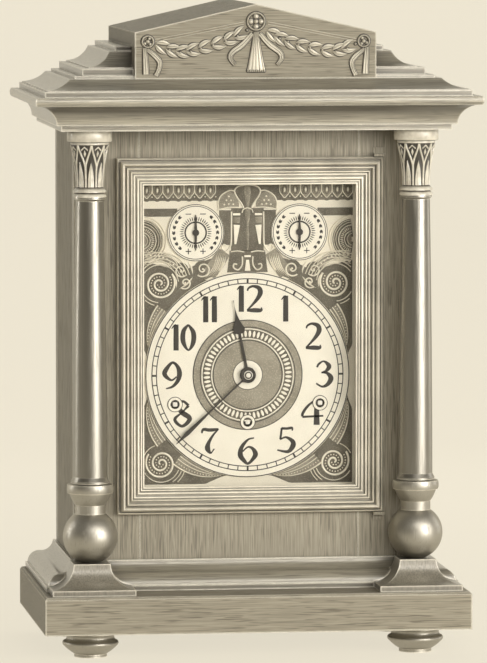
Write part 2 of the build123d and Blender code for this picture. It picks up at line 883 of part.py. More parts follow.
palmette = outline(
    (-0.5 * palmette_half, palmette_low),
    (0.5 * palmette_half, palmette_low),
    ((0.45 * palmette_half, palmette_low + 15), (palmette_half, palmette_high - 14)),
    ((0.9 * palmette_half, palmette_high - 4), (0, palmette_high)),
    ((-0.9 * palmette_half, palmette_high - 4), (-palmette_half, palmette_high - 14)),
    ((-0.45 * palmette_half, palmette_low + 15), (-0.5 * palmette_half, palmette_low)),
)
write(
    "dial_ornaments",
    band,
    *mirrored(low_corner - keep_out),
    *mirrored(high_corner - keep_out),
    cut_y(palmette, dial_front - 1.5, dial_front),
)

# Hands, each drawn pointing at twelve and turned to the time shown
hour_back = centre_front - 0.7
hour_front = hour_back - hand_thickness
minute_back = hour_front - 0.9
minute_front = minute_back - hand_thickness
nut_front = minute_front - 1.5
cannon_pipe = 2.5
hour_stem = 1.0
spade_half = 4.2
spade_low = 0.55 * hour_hand_length
spade_wide = 0.62 * hour_hand_length
hour_shape = outline(
    (-hour_stem, 0),
    (hour_stem, 0),
    (0.8 * hour_stem, spade_low),
    ((0.8 * spade_half, 0.5 * (spade_low + spade_wide) - 0.6), (spade_half, spade_wide)),
    ((1.6, 0.74 * hour_hand_length), (0.2, hour_hand_length)),
    (-0.2, hour_hand_length),
    ((-1.6, 0.74 * hour_hand_length), (-spade_half, spade_wide)),
    ((-0.8 * spade_half, 0.5 * (spade_low + spade_wide) - 0.6), (-0.8 * hour_stem, spade_low)),
)
hour_blank = hour_shape + Circle(hour_pipe_radius + 1.6) - Circle(hour_pipe_radius + seat_fit)
write("hour_hand", at(centre_at, Rot(0, hour_hand_angle, 0) * cut_y(hour_blank, hour_front, hour_back)))
lance_half = 1.55
minute_shape = outline(
    (-0.7, -9.0),
    (0.7, -9.0),
    (0.5, 0.5 * minute_hand_length),
    (lance_half, 0.84 * minute_hand_length),
    (0.15, minute_hand_length),
    (-0.15, minute_hand_length),
    (-lance_half, 0.84 * minute_hand_length),
    (-0.5, 0.5 * minute_hand_length),
)
minute_blank = minute_shape + Circle(cannon_pipe + 1.4) - Circle(cannon_pipe + seat_fit)
write("minute_hand", at(centre_at, Rot(0, minute_hand_angle, 0) * cut_y(minute_blank, minute_front, minute_back)))
nut = lathe_y(
    (arbor_radius + seat_fit, minute_front),
    (3.2, minute_front),
    (3.2, minute_front - 0.7),
    (2.4, nut_front),
    (arbor_radius + seat_fit, nut_front),
)
write("hand_nut", at(centre_at, nut))
pointer_back = ring_front - 0.4
pointer_front = pointer_back - hand_thickness
pointer_length = 0.62 * small_dial_radius
pointer_shape = Polygon((1.1, 0), (0.25, pointer_length), (-0.25, pointer_length), (-1.1, 0))
pointer_shape += mirror(pointer_shape, about=Plane.XZ) + Circle(2.4)
pointer = cut_y(pointer_shape, pointer_front, pointer_back)
pointer += rod_y(pointer_arbor, pointer_back, dial_back + 3.0)
pointer += rod_y(3.0, dial_back + end_shake, dial_back + 2.0)
write("rate_pointer", at(small_places[0], pointer))
write("chime_pointer", at(small_places[1], pointer))


def toothed(teeth, module, tooth_bearing, tip_share=0.0, addendum=1.0, dedendum=1.25, root_share=0.78):
    """Wheel outline with straight-flanked teeth, one of them centred on the given bearing."""
    pitch = 360 / teeth
    root = module * (teeth / 2 - dedendum)
    tip = module * (teeth / 2 + addendum)
    points = []
    for number in range(teeth):
        middle = tooth_bearing + number * pitch
        points.append(polar(root, middle - root_share * pitch / 2))
        if tip_share > 0:
            points.append(polar(tip, middle - tip_share * pitch / 2))
            points.append(polar(tip, middle + tip_share * pitch / 2))
        else:
            points.append(polar(tip, middle))
        points.append(polar(root, middle + root_share * pitch / 2))
    return Polygon(*points)


def crossed(hub, rim, arms, arm_width):
    """Windows between the arms of a wheel."""
    windows = []
    for number in range(arms):
        start = 360 / arms * number
        end = start + 360 / arms
        inner = math.degrees(math.asin(arm_width / 2 / hub))
        outer = math.degrees(math.asin(arm_width / 2 / rim))
        middle = polar(rim, (start + end) / 2)
        near = polar(hub, start + inner)
        far = polar(hub, end - inner)
        windows.append(Polygon(near, polar(rim, start + outer), middle, polar(rim, end - outer), far))
    return windows


def wheel(teeth, module, tooth_bearing, y0, y1, hub, tip_share=0.0):
    """Wheel with teeth, rim and four arms."""
    rim = module * (teeth / 2 - 1.25) - 2.2
    blank = toothed(teeth, module, tooth_bearing, tip_share)
    for window in crossed(hub, rim, 4, 3.0):
        blank -= window
    return cut_y(blank, y0, y1)


def pinion(leaves, module, tooth_bearing, y0, y1):
    """Solid pinion with thin leaves."""
    sketch = toothed(leaves, module, tooth_bearing, 0.16, addendum=0.8, dedendum=1.4, root_share=0.5)
    return cut_y(sketch, y0, y1)


def pivoted(radius):
    """Arbor between the plates with a pivot at each end."""
    return lathe_y(
        (0, front_plate_y),
        (pivot_radius, front_plate_y),
        (pivot_radius, train_front + end_shake),
        (radius, train_front + end_shake),
        (radius, train_back - end_shake),
        (pivot_radius, train_back - end_shake),
        (pivot_radius, back_plate_y),
        (0, back_plate_y),
    )


# Depths of the wheels behind the front plate
centre_wheel_y = train_front + 2.0
pin_wheel_y = train_front + 2.5
intermediate_y = train_front + 6.5
third_wheel_y = train_front + 11.5
great_y = train_front + 14.0
escape_y = train_front + 17.5
thin = 1.5
great_thickness = 3.0
drum_y = great_y + great_thickness

# Plates, pillars and the gear train
small_pivots = [intermediate_at, third_at, escape_at, strike_wheel_at, chime_wheel_at, pallet_at]
plate = box(
    -plate_width / 2,
    plate_width / 2,
    front_plate_y,
    train_front,
    dial_centre_z - plate_below,
    dial_centre_z + plate_above,
)
plate = fillet(plate.edges().filter_by(Axis.Y), 6.0)
pivot_hole = rod_y(pivot_radius + running_fit, front_y, back_y)
arbor_hole = rod_y(arbor_radius + running_fit, front_y, back_y)
barrel_hole = rod_y(barrel_arbor_radius + running_fit, front_y, back_y)
holes = at(centre_at, arbor_hole)
for place in small_pivots:
    holes += at(place, pivot_hole)
for place in winding_places:
    holes += at(place, barrel_hole)
plate -= holes
stud_radius = 1.2
stud_front = dial_back + 2.5
stud = at(minute_at, rod_y(stud_radius, stud_front, front_plate_y))
write("front_plate", plate + stud)
cock_rise = 5.0
pendulum_y = back_plate_y + pendulum_setback
cock = at((0, pallet_at[1] + cock_rise), box(-4, 4, back_plate_y, pendulum_y + 4, 0, 6))
hammer_post_radius = 1.5
post_drop = plate_below - 8
post_middle = plate_width / 2 - hammer_inset
post_xs = [post_middle - gong_spacing / 2, post_middle + gong_spacing / 2]
gong_y = (pendulum_y + bob_thickness / 2 + wall_back) / 2
posts = [at((x, -post_drop), rod_y(hammer_post_radius, back_plate_y, gong_y + 3)) for x in post_xs]
back_plate = Pos(0, train_back - front_plate_y, 0) * plate
for piece in [cock, *posts]:
    back_plate += piece
write("back_plate", back_plate)
pillar_x = plate_width / 2 - 7
pillar = rod_y(3.5, train_front, train_back)
pillar_places = [(x, rise) for x in (-pillar_x, pillar_x) for rise in (plate_above - 7, 7 - plate_below)]
write("plate_pillars", *[at(place, pillar) for place in pillar_places])


def barrel(place, mate):
    """Spring barrel with its great wheel, bored to run on its arbor."""
    teeth = toothed(great_teeth, great_module, bearing(place, mate), 0.14, root_share=0.7)
    body = cut_y(teeth, great_y, drum_y) + rod_y(barrel_radius, drum_y, drum_y + barrel_length)
    return at(place, body - rod_y(barrel_arbor_radius + running_fit, front_y, back_y))


def winding_arbor(place):
    """Arbor through a barrel, with a square for the key behind the dial's face."""
    square_front = dial_front + 0.2
    body = rod_y(barrel_arbor_radius, front_plate_y - 1, back_plate_y)
    square = cut_y(Rectangle(winding_square, winding_square), square_front, front_plate_y - 1)
    return at(place, body + square)


for name, place, mate in (
    ("time", time_at, intermediate_at),
    ("strike", strike_at, strike_wheel_at),
    ("chime", chime_at, chime_wheel_at),
):
    write(f"{name}_barrel", barrel(place, mate))
    write(f"{name}_winding_arbor", winding_arbor(place))


def meshing(place, mate, teeth):
    """Bearing of a tooth on a wheel whose gap faces the mate's tooth."""
    return bearing(place, mate) + 180 / teeth


intermediate = pivoted(arbor_radius)
intermediate += pinion(
    pinion_leaves,
    great_module,
    meshing(intermediate_at, time_at, pinion_leaves),
    great_y - 0.5,
    drum_y + 0.5,
)
intermediate += wheel(
    intermediate_teeth,
    intermediate_module,
    bearing(intermediate_at, centre_at),
    intermediate_y,
    intermediate_y + thin,
    4.5,
)
write("intermediate_wheel", at(intermediate_at, intermediate))

centre_arbor = rod_y(arbor_radius, nut_front, back_plate_y)
centre_arbor += pinion(
    centre_leaves,
    intermediate_module,
    meshing(centre_at, intermediate_at, centre_leaves),
    intermediate_y - 1,
    intermediate_y + thin + 1,
)
centre_arbor += wheel(
    train_teeth,
    centre_module,
    bearing(centre_at, third_at),
    centre_wheel_y,
    centre_wheel_y + thin,
    4.5,
)
write("centre_wheel", at(centre_at, centre_arbor))

third = pivoted(fine_arbor_radius)
third += pinion(
    pinion_leaves,
    centre_module,
    meshing(third_at, centre_at, pinion_leaves),
    centre_wheel_y - 0.5,
    centre_wheel_y + thin + 0.5,
)
third += wheel(
    train_teeth, third_module, bearing(third_at, escape_at), third_wheel_y, third_wheel_y + thin, 4.0
)
write("third_wheel", at(third_at, third))

escape_points = []
for tooth in range(escape_teeth):
    tooth_angle = tooth * 360 / escape_teeth
    escape_points.append(polar(escape_radius, tooth_angle))
    escape_points.append(polar(escape_radius - 2.4, tooth_angle + 0.25 * 360 / escape_teeth))
escape_blank = Polygon(*escape_points)
for window in crossed(3.5, escape_radius - 4.2, 4, 2.4):
    escape_blank -= window
escape = pivoted(fine_arbor_radius)
escape += cut_y(escape_blank, escape_y, escape_y + thin)
escape += pinion(
    pinion_leaves,
    third_module,
    meshing(escape_at, third_at, pinion_leaves),
    third_wheel_y - 0.5,
    third_wheel_y + thin + 0.5,
)
write("escape_wheel", at(escape_at, escape))

for name, place, mate in (
    ("strike_pin_wheel", strike_wheel_at, strike_at),
    ("chime_pin_wheel", chime_wheel_at, chime_at),
):
    pin_wheel = pivoted(arbor_radius)
    pin_wheel += pinion(
        pinion_leaves, great_module, meshing(place, mate, pinion_leaves), great_y - 0.5, drum_y + 0.5
    )
    pin_wheel += wheel(pin_wheel_teeth, pin_wheel_module, 0, pin_wheel_y, pin_wheel_y + thin, 3.5)
    for pin_angle in range(0, 360, 90):
        pin_x, pin_z = polar(0.8 * pin_wheel_module * pin_wheel_teeth / 2, pin_angle + 45)
        pin_wheel += rod_y(0.5, pin_wheel_y + thin, pin_wheel_y + 3 * thin, pin_x, pin_z)
    write(name, at(place, pin_wheel))

# Motion work between the dial and the front plate
minute_module = 2 * motion_distance / (cannon_teeth + minute_teeth)
hour_module = 2 * motion_distance / (minute_leaves + hour_teeth)
cannon_y = front_plate_y - 5.0
minute_y = cannon_y + 0.5
hour_y = cannon_y - 3.5
cannon = rod_y(cannon_pipe, minute_front, front_plate_y - 1.0)
cannon += cut_y(
    toothed(cannon_teeth, minute_module, bearing(centre_at, minute_at), 0.14, root_share=0.62),
    cannon_y,
    cannon_y + 3.0,
)
cannon -= rod_y(arbor_radius + seat_fit, front_y, back_y)
write("cannon_pinion", at(centre_at, cannon))
minute_wheel = wheel(
    minute_teeth, minute_module, meshing(minute_at, centre_at, minute_teeth), minute_y, minute_y + 2, 5.5
)
minute_wheel += pinion(minute_leaves, hour_module, bearing(minute_at, centre_at), hour_y - 0.5, minute_y)
minute_wheel -= rod_y(stud_radius + running_fit, front_y, back_y)
write("minute_wheel", at(minute_at, minute_wheel))
hour_wheel = wheel(
    hour_teeth, hour_module, meshing(centre_at, minute_at, hour_teeth), hour_y, hour_y + 2, 5.5
)
hour_wheel += rod_y(hour_pipe_radius, hour_front, hour_y + 2)
hour_wheel -= rod_y(cannon_pipe + running_fit, front_y, back_y)
write("hour_wheel", at(centre_at, hour_wheel))

# Anchor with its crutch; the nibs stay clear of the wheel's tips through the whole swing
swing = 3.0
nib_gap = math.tan(math.radians(pallet_span)) * escape_radius * math.sin(math.radians(swing)) + 0.4
nib_radius = escape_radius + nib_gap
band_low = nib_radius + 1.0
band_high = band_low + 2.6
nib_bearings = (90 - pallet_span - 4, 90 - pallet_span + 4, 90, 90 + pallet_span - 4, 90 + pallet_span + 4)
anchor_shape = outline(
    polar(nib_radius, nib_bearings[0]),
    polar(band_high, nib_bearings[0]),
    (polar(band_high, nib_bearings[2]), polar(band_high, nib_bearings[4])),
    polar(nib_radius, nib_bearings[4]),
    polar(band_low, nib_bearings[3]),
    (polar(band_low, nib_bearings[2]), polar(band_low, nib_bearings[1])),
)
anchor_hub = Pos(0, pallet_rise) * Circle(2.6)
anchor = at(escape_at, cut_y(anchor_shape + anchor_hub, escape_y - 0.25, escape_y + thin + 0.25))
anchor_arbor = lathe_y(
    (0, front_plate_y),
    (pivot_radius, front_plate_y),
    (pivot_radius, train_front + end_shake),
    (arbor_radius, train_front + end_shake),
    (arbor_radius, train_back - end_shake),
    (pivot_radius, train_back - end_shake),
    (pivot_radius, pendulum_y - 3.0),
    (0, pendulum_y - 3.0),
)
crutch_length = 42.0
rod_radius = 1.2
crutch = box(-1.2, 1.2, pendulum_y - 5.0, pendulum_y - 3.2, -crutch_length, 2.0)
for sign in (-1, 1):
    inner = sign * (rod_radius + door_clearance)
    outer = sign * (rod_radius + door_clearance + 1.2)
    crutch += box(
        min(inner, outer),
        max(inner, outer),
        pendulum_y - 5.0,
        pendulum_y + 2.5,
        -crutch_length - 2,
        -crutch_length + 1,
    )
crutch += box(-2.7, 2.7, pendulum_y - 5.0, pendulum_y - 3.2, -crutch_length - 2, -crutch_length + 1)
write("pallet_anchor", anchor + at(pallet_at, anchor_arbor + crutch))

# Pendulum: its length follows from the beats in an hour
turns_an_hour = (train_teeth / pinion_leaves) ** 2
beats_an_hour = 2 * escape_teeth * turns_an_hour
pendulum_length = gravity * (3600 / beats_an_hour / math.pi) ** 2
spring_top = cock_rise - end_shake
rod = box(-2.0, 2.0, pendulum_y - 0.15, pendulum_y + 0.15, -8.0, spring_top)
rod += Pos(0, pendulum_y, -8 - (pendulum_length + bob_radius) / 2) * Cylinder(
    rod_radius, pendulum_length + bob_radius
)
write("pendulum_rod", at(pallet_at, rod))
bob = lathe_y(
    (0, -0.5 * bob_thickness),
    (0.5 * bob_radius, -0.5 * bob_thickness),
    ((0.85 * bob_radius, -0.3 * bob_thickness), (bob_radius, 0)),
    ((0.85 * bob_radius, 0.3 * bob_thickness), (0.5 * bob_radius, 0.5 * bob_thickness)),
    (0, 0.5 * bob_thickness),
)
bob -= Cylinder(rod_radius + seat_fit, 3 * bob_radius)
write("pendulum_bob", at((0, pallet_at[1] - pendulum_length), Pos(0, pendulum_y, 0) * bob))

# Gong block on the slab, two rods, and a hammer on a post for each
hammer_head = 4.0
head_length = 9.0
strike_gap = 0.6
rod_xs = [x + head_length / 2 + strike_gap + gong_rod_radius for x in post_xs]
block_top = slab_top + gong_block_height
block = box(
    rod_xs[0] - gong_block_margin,
    rod_xs[1] + gong_block_margin,
    gong_y - gong_block_width / 2,
    gong_y + gong_block_width / 2,
    slab_top,
    block_top,
)
rods = []
for number, x in enumerate(rod_xs):
    rod_length = gong_rod_length - gong_rod_step * number
    rod_low = block_top - gong_rod_seat
    place = Pos(x, gong_y, rod_low + rod_length / 2)
    rods.append(place * Cylinder(gong_rod_radius, rod_length))
    block -= place * Cylinder(gong_rod_radius + seat_fit, rod_length)
write("gong_block", block)
write("gong_rods", *rods)
for name, x in zip(("strike_hammer", "chime_hammer"), post_xs):
    hammer = rod_y(3.0, gong_y - 2.0, gong_y + 2.0)
    hammer += Pos(0, gong_y, -hammer_length / 2) * Cylinder(0.9, hammer_length)
    hammer += Pos(0, gong_y, -hammer_length) * Rot(0, 90, 0) * Cylinder(hammer_head, head_length)
    hammer -= rod_y(hammer_post_radius + running_fit, front_y, back_y)
    write(name, at((x, -post_drop), hammer))

print("pendulum length", round(pendulum_length, 1), "apex", round(apex_z, 1))
for name, place in (
    ("time", time_at),
    ("strike", strike_at),
    ("chime", chime_at),
    ("intermediate", intermediate_at),
    ("third", third_at),
    ("escape", escape_at),
    ("pallet", pallet_at),
    ("strike pin wheel", strike_wheel_at),
    ("chime pin wheel", chime_wheel_at),
    ("minute wheel", minute_at),
):
    print(name, round(place[0], 4), round(dial_centre_z + place[1], 4))
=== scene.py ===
import json
import math

import bmesh
import bpy
import numpy as np
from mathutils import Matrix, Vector


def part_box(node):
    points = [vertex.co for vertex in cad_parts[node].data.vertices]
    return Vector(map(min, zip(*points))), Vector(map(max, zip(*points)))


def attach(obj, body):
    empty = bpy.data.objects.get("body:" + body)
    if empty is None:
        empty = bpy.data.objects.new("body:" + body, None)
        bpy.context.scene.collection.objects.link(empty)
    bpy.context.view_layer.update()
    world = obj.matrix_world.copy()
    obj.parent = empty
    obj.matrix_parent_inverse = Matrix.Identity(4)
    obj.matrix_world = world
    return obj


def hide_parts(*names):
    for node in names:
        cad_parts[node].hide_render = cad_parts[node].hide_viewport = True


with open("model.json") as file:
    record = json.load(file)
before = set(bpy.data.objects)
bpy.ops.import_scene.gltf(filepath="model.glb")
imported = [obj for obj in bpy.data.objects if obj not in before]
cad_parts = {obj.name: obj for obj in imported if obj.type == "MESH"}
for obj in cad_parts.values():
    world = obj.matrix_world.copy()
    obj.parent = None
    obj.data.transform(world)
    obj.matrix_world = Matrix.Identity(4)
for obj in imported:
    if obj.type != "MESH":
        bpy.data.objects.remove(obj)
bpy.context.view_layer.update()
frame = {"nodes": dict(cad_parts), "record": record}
nodes = frame["nodes"]
mm = 0.001
print("frame loaded:", len(nodes), "CAD nodes")


# Shader helpers

def feed(tree, node, inputs):
    # a socket is linked, any other value is set on the input itself
    for key, value in inputs.items():
        if isinstance(value, bpy.types.NodeSocket):
            tree.links.new(value, node.inputs[key])
        else:
            node.inputs[key].default_value = value


def addNode(tree, kind, inputs=None, **settings):
    node = tree.nodes.new(kind)
    for key, value in settings.items():
        setattr(node, key, value)
    feed(tree, node, inputs or {})
    return node


def maths(tree, operation, a, b=0.0, clamp=False):
    return addNode(tree, "ShaderNodeMath", {0: a, 1: b}, operation=operation, use_clamp=clamp).outputs[0]


def times(tree, a, b, clamp=False):
    return maths(tree, "MULTIPLY", a, b, clamp)


def mixColour(tree, share, a, b):
    return addNode(tree, "ShaderNodeMix", {0: share, 6: a, 7: b}, data_type="RGBA").outputs[2]


def mixShader(tree, share, a, b):
    return addNode(tree, "ShaderNodeMixShader", {0: share, 1: a, 2: b}).outputs[0]


def spread(tree, value, low, high, outLow=0.0, outHigh=1.0):
    # stretches low..high to outLow..outHigh
    inputs = {"Value": value, "From Min": low, "From Max": high, "To Min": outLow, "To Max": outHigh}
    return addNode(tree, "ShaderNodeMapRange", inputs).outputs["Result"]


def noise(tree, vector, scale, detail=3.0, rough=0.5, distortion=0.0):
    inputs = {"Vector": vector, "Scale": scale, "Detail": detail, "Roughness": rough,
              "Distortion": distortion}
    return addNode(tree, "ShaderNodeTexNoise", inputs).outputs["Fac"]


def drawnOut(tree, vector, along, *shape):
    # noise drawn out along z
    mapped = addNode(tree, "ShaderNodeMapping", {"Vector": vector, "Scale": (1, 1, along)})
    return noise(tree, mapped.outputs["Vector"], *shape)


def makeGroup(name, inputs, outputs):
    # inputs and outputs give the kind of each named socket
    tree = bpy.data.node_groups.new(name, "ShaderNodeTree")
    for way, sockets in (("INPUT", inputs), ("OUTPUT", outputs)):
        for label, kind in sockets.items():
            tree.interface.new_socket(name=label, in_out=way, socket_type="NodeSocket" + kind)
    return tree, tree.nodes.new("NodeGroupInput").outputs, tree.nodes.new("NodeGroupOutput")


def useGroup(tree, group, **inputs):
    return addNode(tree, "ShaderNodeGroup", inputs, node_tree=group).outputs


# Shared effects

grainPattern = {  # each noise: how far it is drawn out, scale, detail, roughness, distortion
    "figure": (0.09, 34.0, 4.0, 0.55, 0.6), "streaks": (0.02, 1500.0, 2.0, 0.6),
    "pores": (0.045, 1150.0, 1.0, 0.5), "poreBand": (0.58, 0.68), "toneBand": (0.38, 0.62),
    "figureShare": 0.1, "poreStain": 0.5, "poreDepth": 0.6,
}
edgeWearAndHighlightPattern = {
    "samples": 6, "band": (0.995, 0.86), "patches": (160.0, 3.0), "patchBand": (0.25, 0.6, 0.65, 1.0),
}
hollowShadePattern = {"samples": 8, "band": (0.95, 0.35)}
stipplePattern = {"band": (0.12, 0.42), "uneven": (90.0, 3.0), "unevenBand": (0.3, 0.7, 0.6, 1.0)}
underShadePattern = {"band": (-0.12, -0.75)}


def makeGrain(pattern):
    # wood that grows along the vector's z: wide figure, fine streaks and short dark pores
    tree, given, out = makeGroup(
        "woodGrain", {"Vector": "Vector", "Pale": "Color", "Dark": "Color", "Contrast": "Float"},
        {"Color": "Color", "Height": "Float", "Pores": "Float"})
    vector = given["Vector"]
    figure, streaks, pores = (drawnOut(tree, vector, *pattern[key]) for key in ("figure", "streaks", "pores"))
    poreMask = spread(tree, pores, *pattern["poreBand"])
    part = pattern["figureShare"]
    tone = maths(tree, "ADD", times(tree, figure, part), times(tree, streaks, 1 - part))
    tone = spread(tree, tone, *pattern["toneBand"])
    share = times(tree, maths(tree, "SUBTRACT", 1.0, tone), given["Contrast"], True)
    colour = mixColour(tree, share, given["Pale"], given["Dark"])
    colour = mixColour(tree, times(tree, poreMask, pattern["poreStain"]), colour, given["Dark"])
    height = maths(tree, "SUBTRACT", streaks, times(tree, poreMask, pattern["poreDepth"]))
    feed(tree, out, {"Color": colour, "Height": height, "Pores": poreMask})
    return tree


def makeEdgeWear(pattern):
    # rubbed corners and a painted highlight along the arrises: pale where the rounded normal leaves the true
    # one, broken up by noise
    tree, given, out = makeGroup("edgeWearAndHighlight", {"Vector": "Vector", "Width": "Float"}, {"Mask": "Float"})
    rounded = addNode(tree, "ShaderNodeBevel", {"Radius": given["Width"]}, samples=pattern["samples"])
    normal = addNode(tree, "ShaderNodeNewGeometry").outputs["Normal"]
    both = {0: rounded.outputs["Normal"], 1: normal}
    along = addNode(tree, "ShaderNodeVectorMath", both, operation="DOT_PRODUCT").outputs["Value"]
    patchy = spread(tree, noise(tree, given["Vector"], *pattern["patches"]), *pattern["patchBand"])
    feed(tree, out, {"Mask": times(tree, spread(tree, along, *pattern["band"]), patchy, True)})
    return tree


def makeHollows(pattern):
    # painted shade: darker in the hollows of a relief and under overhangs, where less light reaches
    tree, given, out = makeGroup("paintedHollowShade", {"Distance": "Float"}, {"Mask": "Float"})
    reach = {"Distance": given["Distance"]}
    shade = addNode(tree, "ShaderNodeAmbientOcclusion", reach, samples=pattern["samples"])
    feed(tree, out, {"Mask": spread(tree, shade.outputs["AO"], *pattern["band"])})
    return tree


def makeStipple(pattern):
    # punched ground: close round dots of uneven depth
    tree, given, out = makeGroup(
        "stipple", {"Vector": "Vector", "Scale": "Float"}, {"Mask": "Float", "Height": "Float"})
    cells = addNode(tree, "ShaderNodeTexVoronoi", {"Vector": given["Vector"], "Scale": given["Scale"]})
    dots = spread(tree, cells.outputs["Distance"], *pattern["band"])
    uneven = spread(tree, noise(tree, given["Vector"], *pattern["uneven"]), *pattern["unevenBand"])
    feed(tree, out, {"Mask": times(tree, dots, uneven), "Height": dots})
    return tree


def makeFading(pattern):
    # painted shade: darker where a surface faces down and less light reaches it
    tree, given, out = makeGroup("paintedUnderShade", {"Color": "Color", "Dark": "Color", "Amount": "Float"},
                                 {"Color": "Color"})
    normal = addNode(tree, "ShaderNodeNewGeometry").outputs["Normal"]
    rise = addNode(tree, "ShaderNodeSeparateXYZ", {"Vector": normal}).outputs["Z"]
    down = times(tree, spread(tree, rise, *pattern["band"]), given["Amount"])
    feed(tree, out, {"Color": mixColour(tree, down, given["Color"], given["Dark"])})
    return tree


grainGroup = makeGrain(grainPattern)
underShadeGroup = makeFading(underShadePattern)
edgeWearAndHighlightGroup = makeEdgeWear(edgeWearAndHighlightPattern)
hollowShadeGroup = makeHollows(hollowShadePattern)
stippleGroup = makeStipple(stipplePattern)


def startMaterial(name):
    material = bpy.data.materials.new(name)
    material.use_nodes = True
    tree = material.node_tree
    point = addNode(tree, "ShaderNodeTexCoord").outputs["Object"]
    return material, tree, tree.nodes["Principled BSDF"], point


def bump(tree, height, strength, distance):
    inputs = {"Height": height, "Strength": strength, "Distance": distance}
    return addNode(tree, "ShaderNodeBump", inputs).outputs["Normal"]


# Finishes

grainTurns = {"upright": (0, 0, 0), "across": (0, 90, 0)}
# worn is laid along the arrises as wear and painted highlight; fade paints shade on faces turned down; hollow
# paints shade in the hollows
caseWood = {
    "pale": (0.405, 0.368, 0.284, 1), "dark": (0.085, 0.075, 0.056, 1), "worn": (0.84, 0.79, 0.66, 1),
    "contrast": 0.55, "specular": 0.5, "fade": 0.25, "edge": 0.0022, "rough": 0.4, "poreRough": 0.2,
    "hollowShade": 0.35, "hollowShadeReach": 0.005, "ior": 1.5, "coatIor": 1.6, "coatRough": 0.22,
    "tint": (1, 0.95, 0.84, 1), "coat": 0.15, "bump": (0.25, 0.0002),
}
mouldedWood = dict(caseWood, pale=(0.51, 0.465, 0.356, 1), dark=(0.06, 0.053, 0.04, 1), rough=0.34,
                   hollowShade=0.95, hollowShadeReach=0.02, fade=0.9, coat=0.7, coatRough=0.3, ior=1.8, coatIor=1.8)
lowWood = dict(mouldedWood, pale=(0.4, 0.365, 0.28, 1))
sideWood = dict(caseWood, specular=0.08, coat=0.0)
slabWood = dict(sideWood, contrast=0.35)
coveWood = dict(mouldedWood, pale=(0.31, 0.28, 0.215, 1))
plainWood = dict(caseWood, edge=0.0001, hollowShade=0.0)
turnedWood = dict(caseWood, pale=(0.04, 0.036, 0.027, 1), dark=(0.015, 0.013, 0.01, 1),
                  worn=(0.8, 0.75, 0.62, 1), contrast=0.4, fade=0.3, edge=0.0013, rough=0.34, hollowShade=0.9,
                  hollowShadeReach=0.008, coat=0.4, coatRough=0.3, ior=3.0, coatIor=1.8, tint=(1, 0.94, 0.8, 1))
ballWood = dict(turnedWood, rough=0.45, ior=4.2)


def woodFinish(name, look, direction):
    material, tree, shader, point = startMaterial(name)
    turn = tuple(math.radians(angle) for angle in grainTurns[direction])
    turned = addNode(tree, "ShaderNodeMapping", {"Vector": point, "Rotation": turn}).outputs["Vector"]
    dark = look["dark"]
    grain = useGroup(tree, grainGroup, Vector=turned, Pale=look["pale"], Dark=dark, Contrast=look["contrast"])
    # painted light: wear and painted highlight along the arrises, painted shade in the hollows and on faces
    # turned down
    wearAndEdgeHighlight = useGroup(tree, edgeWearAndHighlightGroup, Vector=point, Width=look["edge"])["Mask"]
    hollowShade = useGroup(tree, hollowShadeGroup, Distance=look["hollowShadeReach"])["Mask"]
    underShaded = useGroup(tree, underShadeGroup, Color=grain["Color"], Dark=dark, Amount=look["fade"])["Color"]
    colour = mixColour(tree, times(tree, hollowShade, look["hollowShade"]), underShaded, dark)
    feed(tree, shader, {
        "Base Color": mixColour(tree, wearAndEdgeHighlight, colour, look["worn"]),
        "Roughness": maths(tree, "ADD", times(tree, grain["Pores"], look["poreRough"]), look["rough"]),
        "Normal": bump(tree, grain["Height"], *look["bump"]),
        "IOR": look["ior"], "Specular IOR Level": look["specular"], "Specular Tint": look["tint"],
        "Coat Weight": look["coat"], "Coat IOR": look["coatIor"], "Coat Roughness": look["coatRough"],
    })
    return material


giltTrim = {
    "colour": (0.92, 0.86, 0.715, 1), "dark": (0.04, 0.034, 0.025, 1), "rough": 0.36, "metallic": 0.3,
    "tarnish": (48.0, 4.0, 0.6), "tarnishBand": (0.35, 0.75, 0.0, 0.35), "tarnishRough": 0.2,
    "scratches": (0.04, 1560.0, 2.0), "hollowShade": 0.6, "hollowShadeReach": 0.0022, "bump": (0.06, 0.0001),
}
wheelBrass = dict(giltTrim, colour=(0.72, 0.56, 0.29, 1), dark=(0.3, 0.2, 0.08, 1), rough=0.28,
                  metallic=0.9, hollowShade=0.7)
arborSteel = dict(giltTrim, colour=(0.56, 0.56, 0.57, 1), dark=(0.22, 0.21, 0.2, 1), rough=0.25,
                  metallic=0.9)
keySteel = dict(giltTrim, colour=(0.82, 0.79, 0.7, 1), dark=(0.4, 0.37, 0.31, 1), rough=0.4,
                metallic=0.2, hollowShade=0.3)
raisedGilt = dict(giltTrim, colour=(0.9, 0.845, 0.7, 1), dark=(0.3, 0.26, 0.2, 1), rough=0.45,
                  metallic=0.2, hollowShade=0.35)
swagGilt = dict(giltTrim, colour=(0.82, 0.765, 0.63, 1), dark=(0.05, 0.043, 0.033, 1), rough=0.42,
                hollowShade=0.5)


def metalFinish(name, look):
    material, tree, shader, point = startMaterial(name)
    tarnish = noise(tree, point, *look["tarnish"])
    # painted shade in the hollows
    hollowShade = useGroup(tree, hollowShadeGroup, Distance=look["hollowShadeReach"])["Mask"]
    colour = mixColour(tree, spread(tree, tarnish, *look["tarnishBand"]), look["colour"], look["dark"])
    feed(tree, shader, {
        "Base Color": mixColour(tree, times(tree, hollowShade, look["hollowShade"]), colour, look["dark"]),
        "Roughness": maths(tree, "ADD", times(tree, tarnish, look["tarnishRough"]), look["rough"]),
        "Normal": bump(tree, drawnOut(tree, point, *look["scratches"]), *look["bump"]),
        "Metallic": look["metallic"],
    })
    return material


